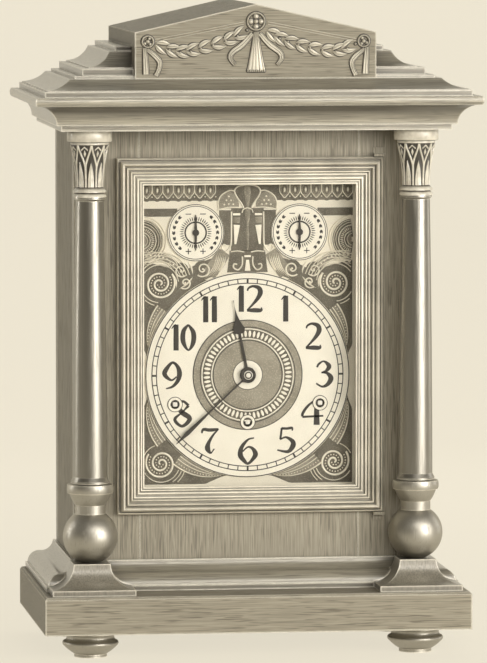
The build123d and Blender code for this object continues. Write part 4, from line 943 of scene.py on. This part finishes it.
def shieldBand(size):
    reach, (height, half) = sightHigh[0], size["ground"]
    dark, mid, pale = [sheet([(-reach, height), (reach, height)], half, "ground")], [], []
    foot, footHalf = size["fieldFoot"]
    side = [(size["half"], size["top"]), (size["half"], size["shoulder"]), (size["waist"], size["flank"])]
    for place in (np.arange(size["count"]) - (size["count"] - 1) / 2) * size["pitch"]:
        if abs(place) < size["skip"]:
            continue
        left, right = ([(place + hand * x, z) for x, z in side] for hand in (-1, 1))
        pale.append(line(left + [(place, size["tip"])] + right[::-1], size["line"]))
        spine = [(place, size["top"]), (place, size["shoulder"]), (place, foot)]
        mid.append(patch(spine, (size["field"], size["field"], footHalf), "field"))
        eye = np.array([place, size["eyeAt"]])
        pale.append(knob(eye, size["core"]))
        oval = eye + heading(fullTurn(size["eyeSides"])) * size["eye"]
        dark.append(carry(oval, size["eyeLine"], castRise["core"], plateFront, closed=True))
        dark.append(knob((place, size["scallopAt"]), size["scallop"], "ground", size["scallopSides"]))
        pale.append(bead(place + size["pitch"] / 2, size["beadAt"], size["bead"]))
    return dark, mid, pale


palmette = {  # each form: the points of its path, then its half width, one for all or one for each point
    "drop": ([(0, 329.4), (0, 327.6), (0, 324), (0, 318), (0, 313)], (5.6, 8.2, 8.8, 5.4, 2.8)),
    "panel": ([(0, 312.8), (0, 282.4)], 11.6), "foot": ([(0, 282.8), (0, 267.4)], (12.5, 14.5)),
    "core": ([(0, 328.8), (0, 325), (0, 320), (0, 314.2), (0, 311.2), (0, 308.6), (0, 302.6), (0, 299.8),
              (0, 294), (0, 283)], (3.4, 4.3, 3.3, 1.5, 3.2, 3.5, 1.7, 1.1, 2.3, 0.7)),
    "cap": ([(-2.3, 278.8), (2.3, 278.8)], 0.7), "stem": ([(0, 276.2), (0, 268.4)], (1.0, 2.1)),
    "lobe": ([(-13.4, 312.6), (-13.4, 316), (-13.4, 320), (-13.2, 323.2), (-13, 324.6)],
             (7.2, 7.4, 6.4, 3.8, 1.4)),
    "gap": ([(-15.8, 311.4), (-15.8, 286.8)], 4.4),
    "featherField": ([(-16.5, 282), (-21.5, 274), (-27.5, 266)], (4.4, 5.2, 5.0)),
    "block": ([(-7.8, 306.7), (-7.8, 302.4)], 2.4), "torchCap": ([(-10.4, 308.5), (-5.2, 308.5)], 0.8),
    "torch": ([(-7.7, 301.0), (-8.7, 287.4)], (2.3, 0.7)),
    "lines": (([(-2.9, 313.0), (-4.1, 315.8), (-7.6, 320.8), (-9.2, 325.2), (-6.4, 328.4), (0, 329.5)], 0.62),
              ([(-9.2, 325.0), (-13.2, 325.2), (-18.6, 322.0), (-20.9, 317.2), (-20.6, 312.6)], 0.55),
              ([(-21.4, 311.5), (-17, 312.8), (-11, 313.5), (-5, 313.2)], 0.55),
              ([(-3.9, 309.6), (-3.0, 311.9), (0, 313.1)], 0.5),
              ([(-11.4, 310.4), (-11.5, 300), (-11.6, 290), (-12.4, 285.6), (-15.2, 282.4), (-18.2, 284.4),
                (-17, 287), (-15, 286.2)], 0.65),
              ([(-12, 282.0), (-7, 282.5), (-2.4, 281.7)], 0.5),
              ([(-3.7, 278.6), (-3.9, 272.8), (-6.6, 269.2), (-9.8, 270.6), (-9.7, 273.2), (-7.4, 273.0)],
               0.6)),
    "lobeBeads": ((-16.6, 315.4), (-13.4, 315.8), (-10.2, 315.6), (-15, 318.4), (-11.8, 318.4),
                  (-13.4, 321.2)),
    "lobeBead": 0.8, "spear": ((-15.2, 276.2), (-20.8, 265.9), 1.1, -0.05),
    "feathers": 6, "featherRoot": ((-15.4, 280.6), (-21.2, 282.8)), "featherTip": (-22.5, -32.0),
    "featherClear": 1.0, "feather": 0.5, "featherBend": 0.1,
}


def palmetteHalf(size):
    # what lies left of the middle: a lobe, a torch between curled lines, a hook and feathers down to the ring
    mid = [patch(*size[key], "field") for key in ("lobe", "featherField")] + [sheet(*size["block"], "core")]
    pale = [line(*stroke) for stroke in size["lines"]] + [sheet(*size["torchCap"]), sheet(*size["torch"])]
    pale += [bead(x, z, size["lobeBead"]) for x, z in size["lobeBeads"]] + [frond(*size["spear"])]
    first, last = np.array(size["featherRoot"])
    for share in np.linspace(0, 1, size["feathers"]):
        x = size["featherTip"][0] * (1 - share) + size["featherTip"][1] * share
        z = dialMiddle[1] + math.sqrt((rimRadius + size["featherClear"]) ** 2 - x ** 2)
        root = first * (1 - share) + last * share
        pale.append(frond(root, (x, z), size["feather"], size["featherBend"]))
    return [patch(*size["gap"])], mid, pale


def palmetteMiddle(size):
    dark = [patch(*size[key], "shade") for key in ("drop", "panel", "foot")]
    mid = [carry(*size["core"], castRise["core"], plateFront, leafRidge)]
    return dark, mid, [sheet(*size["cap"]), sheet(*size["stem"])]


edgeFan = {
    "centre": (-75.4, 290.2), "span": (5, 175), "field": 8.2, "fieldHalf": 6.4, "ribs": 17, "ribIn": 6.7,
    "ribOut": 9.7, "rib": 0.42, "margin": 0.5, "points": 36,
    "lens": ([(-73.4, 301), (-72.9, 290.2), (-73.4, 279.4)], (0.2, 1.5, 0.2)),
    "lines": ((4.2, 0.3), (6.0, 0.4), (10.2, 0.45), (12.2, 0.3), (13.8, 0.3), (15.4, 0.42), (17.2, 0.3)),
    "strip": ([(-75.2, 310.0), (-50, 310.0)], 2.8),
}


def edgeArcs(size):
    # ribs and arcs that fan out from the door's edge, kept where they clear the small dial
    centre = np.array(size["centre"])
    way = heading(np.radians(np.linspace(*size["span"], size["points"])))
    dark = [patch(*size["strip"]), sheet(centre + way * size["field"], size["fieldHalf"], "fan")]
    pale = []
    for out in heading(np.radians(np.linspace(*size["span"], size["ribs"] + 2)[1:-1])):
        pale.append(frond(centre + out * size["ribIn"], centre + out * size["ribOut"], size["rib"]))
    for radius, half in size["lines"]:
        path = centre + way * radius
        clear = np.linalg.norm(path - np.array(smallDial["at"]), axis=1) > smallDial["rim"]
        pale.append(raised(path[(path[:, 0] > sightLow[0] + size["margin"]) & clear], half))
    return dark, [patch(*size["lens"], "core")], pale


sideScroll = {
    "ground": (303, 343, 7.4), "groundHalf": 6.2, "half": 0.62, "pitch": 3.4, "turns": 1.35, "start": 2.4,
    "eye": 0.9, "rim": 0.8, "bend": 0.08,
    "places": ((-31.8, 269.8, 5.6, -1), (-47.4, 269.0, 4.8, 1), (-44.4, 260.2, 4.6, -1)),
    "chain": [(-73.4, 279.2), (-67.5, 279.8), (-59.4, 278.0), (-53.6, 274.2), (-51.6, 270.6)],
    "chainHalf": 3.0, "chainEdge": 2.5, "chainLine": 0.38, "chainBead": 0.85, "chainPitch": 3.0,
    "tendrils": (((-42.2, 275.0), (-39.0, 265.4), 0.75), ((-38.8, 264.6), (-49.6, 255.6), 0.7),
                 ((-52.2, 265.6), (-51.0, 255.6), 0.7)),
}


def sideScrolls(size):
    dark, pale = [sheet(aroundRing(*size["ground"]), size["groundHalf"], "ground")], []
    for x, z, reach, hand in size["places"]:
        dark.append(disc(x, z, reach + size["rim"]))
        curl = spiral((x, z), reach, size["pitch"], size["turns"], size["start"] * hand, hand)
        pale += [raised(curl, size["half"]), bead(x, z, size["eye"])]
    pale += [frond(*tendril, size["bend"]) for tendril in size["tendrils"]]
    chain = smooth(size["chain"])
    pale += [raised(beside(chain, side * size["chainEdge"]), size["chainLine"]) for side in (-1, 1)]
    pale += beadsAlong(chain, size["chainPitch"], size["chainBead"])
    return dark, [sheet(chain, size["chainHalf"], "field")], pale


def makeCastWork():
    layers = [[], [], []]
    halves = (cornerSpirals(cornerScroll), ringCrescents(ringLeaves), palmetteHalf(palmette),
              edgeArcs(edgeFan), sideScrolls(sideScroll))
    for half in halves:
        for layer, parts in zip(layers, half):
            layer += mirrored(parts)
    for whole in (shieldBand(shields), palmetteMiddle(palmette)):
        for layer, parts in zip(layers, whole):
            layer += parts
    newPiece("castGrounds", layers[0], "case", "dial_brass", castGround)
    newPiece("castFields", layers[1], "case", "dial_brass", castField)
    newPiece("castLines", layers[2], "case", "gilt_trim", castLine, ("dial_ornaments",))


makeCastWork()
print("cast ornaments on the dial plate")

# Glazed door's moulding: beads and quirks in steps, mitred at the corners

bezelMoulding = {
    "rebate": (4.25, 4.0), "pivotCut": 2.3, "perBead": 9, "sharp": 32.0,
    "steps": (  # inset of both ends from the outer edge, height of both ends, crown of the bead between them
        (0.0, 1.7, 5.0, 5.0, 1.2), (1.7, 2.5, 4.0, 4.0, 0), (2.5, 5.6, 9.4, 9.4, 2.4),
        (5.6, 6.4, 7.2, 7.2, 0), (6.4, 8.0, 9.2, 9.0, 1.0), (8.0, 9.3, 5.8, 5.8, 0),
        (9.3, 10.9, 7.6, 7.4, 1.0), (10.9, 11.5, 6.2, 6.2, 0), (11.5, 12.7, 7.2, 7.0, 0.3),
        (12.7, 14.1, 4.9, 4.9, 0), (14.1, 15.7, 6.4, 6.2, 0.5), (15.7, 16.3, 4.7, 4.7, 0),
        (16.3, 17.5, 5.6, 5.5, 0.4), (17.5, 18.0, 4.3, 4.3, 0), (18.0, 19.25, 5.0, 4.8, 0.3)),
}


def makeBezel(size):
    # a closed profile of inset and height, carried round the door: each point runs on its own rectangle
    low, high = boxOf("bezel_frame")
    profile = []
    for start, end, first, last, crown in size["steps"]:
        t = np.linspace(0, 1, size["perBead"] if crown else 2)
        profile += zip(start + (end - start) * t, first + (last - first) * t + crown * np.sin(np.pi * t))
    rail, (wide, deep), cut = size["steps"][-1][1], size["rebate"], size["pivotCut"]
    profile += [(rail, deep), (rail - wide, deep), (rail - wide, 0), (cut, 0), (0, cut)]
    inset, height = np.array(profile).T
    corners = np.array([(-1, -1), (1, -1), (1, 1), (-1, 1)])
    middle, half = (low + high) / 2, (high - low) / 2
    x = middle.x + corners[:, :1] * (half.x - inset)
    z = middle.z + corners[:, 1:] * (half.z - inset)
    points = np.stack((x, np.broadcast_to(high.y - height, x.shape), z), -1).reshape(-1, 3)
    part = (points, gridFaces(len(corners), len(inset), True), noCaps)
    newPiece("bezelMoulding", [part], "front_door", "gilt_trim", replaces=("bezel_frame",),
             sharp=size["sharp"])


makeBezel(bezelMoulding)
print("door moulding run and mitred")

# Pediment relief: rosette, leaf swags, bows and ribbons, each with a painted shadow, a dark wider copy,
# behind it

blockFront = frontOf("pediment_block")
pediment = {
    "outline": 0.6, "outlineRise": 0.25, "ringHalf": 0.6, "ringRise": 1.8, "domeSides": 16,
    "rosette": (0, 445.9), "rosetteReach": 6.0, "rosetteSides": 64, "boss": (1.6, 3.0), "petals": 4,
    "petalAt": 3.6, "petal": (1.9, 2.2),
    "swag": [(-7.2, 439.7), (-15.3, 435), (-25.8, 431), (-38.5, 427.5), (-51.3, 425.2), (-60.6, 426.4),
             (-71.0, 430.8)],
    "perSpan": 24, "firstSpot": 2, "lastSpot": -26, "lookAhead": 12, "pairs": 8, "leafLong": 10.6,
    "leafHalf": 1.6, "leafApart": 0.5, "leafBend": 0.1, "splay": 3.5, "berry": 0.8, "rise": 2.0,
    "fall": ([(0, 438.8, 1.6), (0, 428, 3.2), (0, 417, 5.2), (0, 412.2, 6.2)], 5), "hem": (411.4, 5.8, 9),
    "hemBead": (0.8, 1.5), "bow": (-76.0, 432.0), "bowReach": 3.9, "bowSides": 40, "knot": (1.4, 2.4),
    "loops": (0.5, 2.4, 4.2), "loopAt": 2.4, "loop": (1.2, 1.8),
    "tails": (  # x, z and half width along each ribbon, then its folds
        ([(-2.6, 437.4, 1.3), (-9.5, 429.8, 1.8), (-16.6, 424.4, 1.7), (-18.0, 420.2, 1.4),
          (-14.9, 415.6, 0.9)], 3),
        ([(-78.2, 427.6, 1.2), (-77.6, 418, 1.7), (-77.2, 409.2, 2.0)], 3),
        ([(-76.6, 426.6, 1.0), (-70.4, 421.6, 1.6), (-67.6, 417.4, 1.5), (-68.4, 412.4, 1.3),
          (-70.4, 408.2, 1.4)], 3)),
    "ribbonRise": 0.9, "foldRise": 1.6, "foldHalf": 0.34, "foldSpan": 0.88,
    "cords": ((-8.4, 445.6), (-71.0, 433.6)), "cordGap": 1.7, "cordHalf": 0.3, "cordRise": 0.5,
}


def swagLeaves(path, size, grow, lift):
    # pairs of leaves along the swag's curve, their tips splayed to both sides, and a berry between them
    parts = []
    rise, berry = lift or size["rise"], size["berry"] + grow
    spots = smooth(path, size["perSpan"])
    for pick in np.linspace(size["firstSpot"], len(spots) + size["lastSpot"], size["pairs"]).astype(int):
        root, ahead = spots[pick], spots[pick + size["lookAhead"]] - spots[pick]
        ahead = ahead / np.linalg.norm(ahead)
        over = np.array([-ahead[1], ahead[0]])
        end = root + ahead * size["leafLong"]
        for side in (-1, 1):
            foot, tip = root + over * side * size["leafApart"], end + over * side * size["splay"]
            parts.append(leaf(foot, tip, size["leafHalf"] + grow, rise, blockFront, size["leafBend"] * side))
        parts.append(stud(end, (berry, berry), rise, blockFront))
    return parts


def ribbon(points, folds, size, grow, lift):
    # a flat ribbon with raised folds between its edges
    path = smooth(points)
    parts = [carry(path, path[:, 2] + grow, lift or size["ribbonRise"], blockFront, flatTop)]
    if lift:
        return parts
    for share in np.linspace(-size["foldSpan"], size["foldSpan"], folds):
        fold = beside(path[:, :2], path[:, 2] * share)
        parts.append(carry(fold, size["foldHalf"], size["foldRise"], blockFront))
    return parts


def pedimentParts(size, grow=0.0, lift=0.0):
    # the whole relief; grow widens every part and lift flattens it, for the painted shadow behind it
    def dome(spot, reach, rise):
        return stud(spot, (reach + grow, reach + grow), lift or rise, blockFront, 0.0, size["domeSides"])

    def hoop(spot, radius, count):
        return ring(spot, radius, size["ringHalf"] + grow, lift or size["ringRise"], blockFront, count=count)

    centre, bow = np.array(size["rosette"]), np.array(size["bow"])
    whole = [hoop(centre, size["rosetteReach"], size["rosetteSides"]), dome(centre, *size["boss"])]
    for way in heading(fullTurn(size["petals"])):
        whole.append(dome(centre + size["petalAt"] * way, *size["petal"]))
    whole += swagLeaves(size["swag"][::-1], size, grow, lift)
    whole += swagLeaves([(-x, z) for x, z in size["swag"]], size, grow, lift)
    whole += ribbon(*size["fall"], size, grow, lift)
    height, reach, count = size["hem"]
    whole += [dome((x, height), *size["hemBead"]) for x in np.linspace(-reach, reach, count)]
    half = [hoop(bow, size["bowReach"], size["bowSides"]), dome(bow, *size["knot"])]
    half += [dome(bow + size["loopAt"] * heading(lean), *size["loop"]) for lean in size["loops"]]
    for tail in size["tails"]:
        half += ribbon(*tail, size, grow, lift)
    for drop in (0, size["cordGap"]):
        path = np.array(size["cords"]) - np.array([0, drop])
        half.append(carry(path, size["cordHalf"], lift or size["cordRise"], blockFront))
    return whole + mirrored(half)


def makePediment(size):
    newPiece("pedimentRelief", pedimentParts(size), "case", "gilt_trim", reliefGilt, ("pediment_swag",))
    # painted shadow: a dark, wider and flatter copy of the relief laid behind it
    shadow = pedimentParts(size, size["outline"], size["outlineRise"])
    newPiece("pedimentShadowOutline", shadow, "case", "gilt_trim", reliefShade)


makePediment(pediment)
print("pediment relief carved")

# Capitals: a flared bell carved with leaves, forked ribs and lozenges

capital = {
    "around": 288, "rows": 72, "depth": 1.0, "leaves": 8, "sharp": 50.0,
    "bellLow": 7.0, "bellTop": 36.4, "neck": 8.8, "brim": 12.6, "flare": 1.9,
    # rows of height, radius and paleness: above the foot, above the bell, and from the top; low paleness
    # paints shade into the grooves, the narrow tops of the flares and under the abacus
    "necking": ((0, 9.4, 0), (0, 11.7, 1), (0.9, 11.7, 1), (3.0, 9.9, 0.1), (3.4, 11.7, 1), (4.3, 11.7, 1),
                (7.0, 9.2, 0.1)),
    "lips": ((0, 12.8, 0), (0.5, 13.4, 1), (1.6, 13.4, 1), (2.1, 12.8, 0), (2.1, 15.2, 0.2), (2.7, 15.7, 1)),
    "top": ((-0.6, 15.7, 1), (0, 15.2, 0.5)),
    # the carving: heights are shares of the bell, widths are millimetres round it
    "leafHalf": 2.4, "leafTop": 0.62, "leafPower": 2.4, "leafEdge": 0.5, "leafEnd": 0.63, "leafFlat": 0.75,
    "midrib": 0.8, "forkFrom": 0.46, "forkSpan": 0.6, "forkPower": 0.8, "ribFlat": 1.5, "ribHalf": 0.65,
    "lozengeAt": 0.8, "lozengeHalf": (1.0, 0.1), "lozengeEdge": 3, "chevronAt": 0.955, "chevronSlope": 0.03,
    "chevronFlat": 1.6, "chevronHalf": 0.018, "chevronReach": 2.4, "chevronFrom": 0.86,
}


def step01(value):
    value = np.clip(value, 0, 1)
    return value * value * (3 - 2 * value)


def bellRelief(high, turn, radius, size):
    # raised where a leaf, a forked rib, a lozenge or a chevron lies, all measured along the bell; the same
    # value paints the sunk ground between them dark as painted shade
    sector = 2 * np.pi / size["leaves"]
    across = np.abs((turn + sector / 2) % sector - sector / 2) * radius
    edge = sector / 2 * radius
    gap = edge - across
    leafHalf = size["leafHalf"] * (1 - np.clip(high / size["leafTop"], 0, 1) ** size["leafPower"])
    flat = size["leafFlat"]
    blade = step01((leafHalf - across) / size["leafEdge"]) * (high < size["leafEnd"])
    blade = blade * (flat + (1 - flat) * step01(1 - across / size["midrib"]))
    fork = edge * (1 - step01((high - size["forkFrom"]) / size["forkSpan"]) ** size["forkPower"])
    rib = step01(size["ribFlat"] - np.abs(across - fork) / size["ribHalf"])
    wide, tall = size["lozengeHalf"]
    lozenge = step01((1 - gap / wide - np.abs(high - size["lozengeAt"]) / tall) * size["lozengeEdge"])
    slope = np.abs(high - size["chevronAt"] + size["chevronSlope"] * gap)
    chevron = step01(size["chevronFlat"] - slope / size["chevronHalf"])
    chevron = chevron * (gap < size["chevronReach"]) * (high > size["chevronFrom"])
    return np.maximum.reduce([blade, rib, lozenge, chevron])


def capitalSurface(axis, low, high, size):
    # radius over height and turn: two flared necking rings, the carved bell, a ring and the round abacus
    bellLow, bellTop, around = low + size["bellLow"], low + size["bellTop"], size["around"]
    share = np.linspace(0, 1, size["rows"])
    swell = size["neck"] + (size["brim"] - size["neck"]) * share ** size["flare"]
    bell = np.stack((bellLow + share * (bellTop - bellLow), swell, np.ones(len(share))), -1)
    bases = {"necking": low, "lips": bellTop, "top": high}
    plain = [np.array(size[key]) + (base, 0, 0) for key, base in bases.items()]
    height, radius, relief = np.concatenate((plain[0], bell, *plain[1:])).T
    radius, relief = (np.repeat(column[:, None], around, axis=1) for column in (radius, relief))
    turn = fullTurn(around)
    rows = slice(len(plain[0]), len(plain[0]) + len(bell))
    relief[rows] = bellRelief(share[:, None], turn[None, :], radius[rows], size)
    radius[rows] += relief[rows] * size["depth"]
    points = np.stack((axis[0] + radius * np.sin(turn), axis[1] - radius * np.cos(turn),
                       np.broadcast_to(height[:, None], radius.shape)), -1).reshape(-1, 3)
    return (points, gridFaces(len(height), around), endCaps(len(height), around)), relief.ravel()


def makeCapitals(size):
    low, high = boxOf("column_capitals")
    reach = (high.y - low.y) / 2
    axes = [(x, (low.y + high.y) / 2) for x in (low.x + reach, high.x - reach)]
    parts, relief = zip(*(capitalSurface(axis, low.z, high.z, size) for axis in axes))
    newPiece("carvedCapitals", parts, "case", "turned_wood", carvedWood, ("column_capitals",), size["sharp"],
             np.concatenate(relief))


makeCapitals(capital)
print("capitals carved")

# Studio

studio = {
    "paper": (0.84, 0.78, 0.64, 1), "paperRough": 0.9, "floorReach": 3.0, "floorFront": 1.1, "wallAt": 1.4,
    "bend": 0.5, "bendPoints": 17, "wallHigh": 2.2, "glow": 0.8, "glowStrength": 1.1, "beyond": 1.05,
    "shinySky": 0.1, "sky": 0.08, "skyColour": (1, 0.97, 0.92, 1), "lampAim": (0, 0, 0.22),
    "lampColour": (1, 0.97, 0.92),
    # place, width and height, power, whether it lights dull surfaces, whether it shows in glossy ones
    "lamps": {
        "keyLamp": ((1.75, -2.1, 0.62), (1.3, 1.3), 42.0, True, True),
        "streakLamp": ((1.6, -2.2, 0.62), (2.2, 1.7), 33.0, False, True),
        "frontLamp": ((0.2, -3.0, 0.95), (1.8, 0.8), 40.0, True, False),
        "gleamLamp": ((0.5, -1.9, 1.35), (1.8, 0.5), 13.0, False, True),
        "fillLamp": ((-2.1, -1.8, 0.7), (0.3, 1.5), 9.0, True, False),
        "rightRim": ((1.5, 0.4, 0.55), (0.5, 1.1), 4.0, True, True),
        "leftRim": ((-1.5, 0.5, 0.6), (0.15, 1.1), 6.5, False, True),
        "backLamp": ((0.3, 1.35, 1.0), (1.2, 0.6), 9.0, True, False),
    },
}


def notScattered(tree, rays, share):
    # the share, but nothing where the ray has left a dull surface: the paper's glow lights nothing
    return times(tree, share, maths(tree, "LESS_THAN", rays["Diffuse Depth"], 0.5))


def paperFinish(look):
    material, tree, shader = startMaterial("palePaper")[:3]
    feed(tree, shader, {"Base Color": look["paper"], "Roughness": look["paperRough"]})
    glow = addNode(tree, "ShaderNodeEmission", {"Color": look["paper"], "Strength": look["glowStrength"]})
    rays = addNode(tree, "ShaderNodeLightPath").outputs
    mirror = maths(tree, "MAXIMUM", rays["Is Glossy Ray"], rays["Is Transmission Ray"])
    seen = notScattered(tree, rays, maths(tree, "MAXIMUM", rays["Is Camera Ray"], mirror))
    front = mixShader(tree, times(tree, seen, look["glow"]), shader.outputs[0], glow.outputs[0])
    clear = addNode(tree, "ShaderNodeBsdfTransparent").outputs[0]
    # seen from its back the paper is clear, so the wall doesn't hide the back views
    behind = addNode(tree, "ShaderNodeNewGeometry").outputs["Backfacing"]
    feed(tree, tree.nodes["Material Output"], {"Surface": mixShader(tree, behind, front, clear)})
    return material


def sweepFloor(look):
    # floor, quarter-round bend and wall: one profile in depth and height carried along x
    turn = np.linspace(0, math.pi / 2, look["bendPoints"])
    wall = look["wallAt"] + look["bend"]
    depth = np.concatenate(([-look["floorFront"]], look["wallAt"] + look["bend"] * np.sin(turn), [wall]))
    height = np.concatenate(([0], look["bend"] * (1 - np.cos(turn)), [look["wallHigh"]]))
    side = np.array([-look["floorReach"], look["floorReach"]])
    points = np.stack(np.broadcast_arrays(side[:, None], depth[None, :], height[None, :]), -1).reshape(-1, 3)
    count = len(depth)
    start = np.arange(count - 1)
    faces = np.stack((start, start + count, start + count + 1, start + 1), -1)
    mesh = bpy.data.meshes.new("paperFloor")
    mesh.from_pydata(points.tolist(), [], faces.tolist())
    mesh.shade_smooth()
    mesh.materials.append(paperFinish(look))
    floor = bpy.data.objects.new("paperFloor", mesh)
    bpy.context.scene.collection.objects.link(floor)


def addLamp(name, place, extent, power, lights, shines, look):
    lamp = bpy.data.lights.new(name, "AREA")
    lamp.shape = "RECTANGLE"
    lamp.size, lamp.size_y = extent
    lamp.energy = power
    lamp.color = look["lampColour"]
    item = bpy.data.objects.new(name, lamp)
    item.location = place
    item.rotation_mode = "QUATERNION"
    item.rotation_quaternion = (Vector(look["lampAim"]) - Vector(place)).to_track_quat("-Z", "Y")
    item.visible_diffuse, item.visible_glossy = lights, shines
    item.visible_transmission = False  # the glass lets shadow rays pass, so the dial isn't lit twice
    bpy.context.scene.collection.objects.link(item)


def lightStudio(look):
    for name, lamp in look["lamps"].items():
        addLamp(name, *lamp, look)
    world = bpy.data.worlds.new("studioSky")
    bpy.context.scene.world = world
    world.use_nodes = True
    tree = world.node_tree
    sky = tree.nodes["Background"]
    feed(tree, sky, {"Color": look["skyColour"], "Strength": look["sky"]})
    beyond = addNode(tree, "ShaderNodeBackground", {"Color": look["paper"], "Strength": look["beyond"]})
    rays = addNode(tree, "ShaderNodeLightPath").outputs
    mirror = maths(tree, "MAXIMUM", rays["Is Glossy Ray"], rays["Is Transmission Ray"])
    shiny = times(tree, mirror, look["shinySky"])
    seen = notScattered(tree, rays, maths(tree, "MAXIMUM", rays["Is Camera Ray"], shiny))
    surface = mixShader(tree, seen, sky.outputs[0], beyond.outputs[0])
    feed(tree, tree.nodes["World Output"], {"Surface": surface})


sweepFloor(studio)
lightStudio(studio)

camera = {
    "azimuth": -7.4, "elevation": 4.5, "distance": 4.25, "lens": 327.0, "sensor": 36.0,
    "clip": (0.05, 60.0), "aim": (-0.0046, -0.04, 0.2264),
}


def setCamera(look):
    data = bpy.data.cameras.new("photoCamera")
    data.lens = look["lens"]
    data.sensor_width = look["sensor"]
    data.clip_start, data.clip_end = look["clip"]
    eye = bpy.data.objects.new("photoCamera", data)
    turn, rise = math.radians(look["azimuth"]), math.radians(look["elevation"])
    back = Vector((math.sin(turn) * math.cos(rise), -math.cos(turn) * math.cos(rise), math.sin(rise)))
    eye.location = Vector(look["aim"]) + back * look["distance"]
    eye.rotation_mode = "QUATERNION"
    eye.rotation_quaternion = (-back).to_track_quat("-Z", "Y")
    bpy.context.scene.collection.objects.link(eye)
    bpy.context.scene.camera = eye


setCamera(camera)
bpy.context.scene.view_settings.view_transform = "Standard"
print("studio, lamps and camera set")
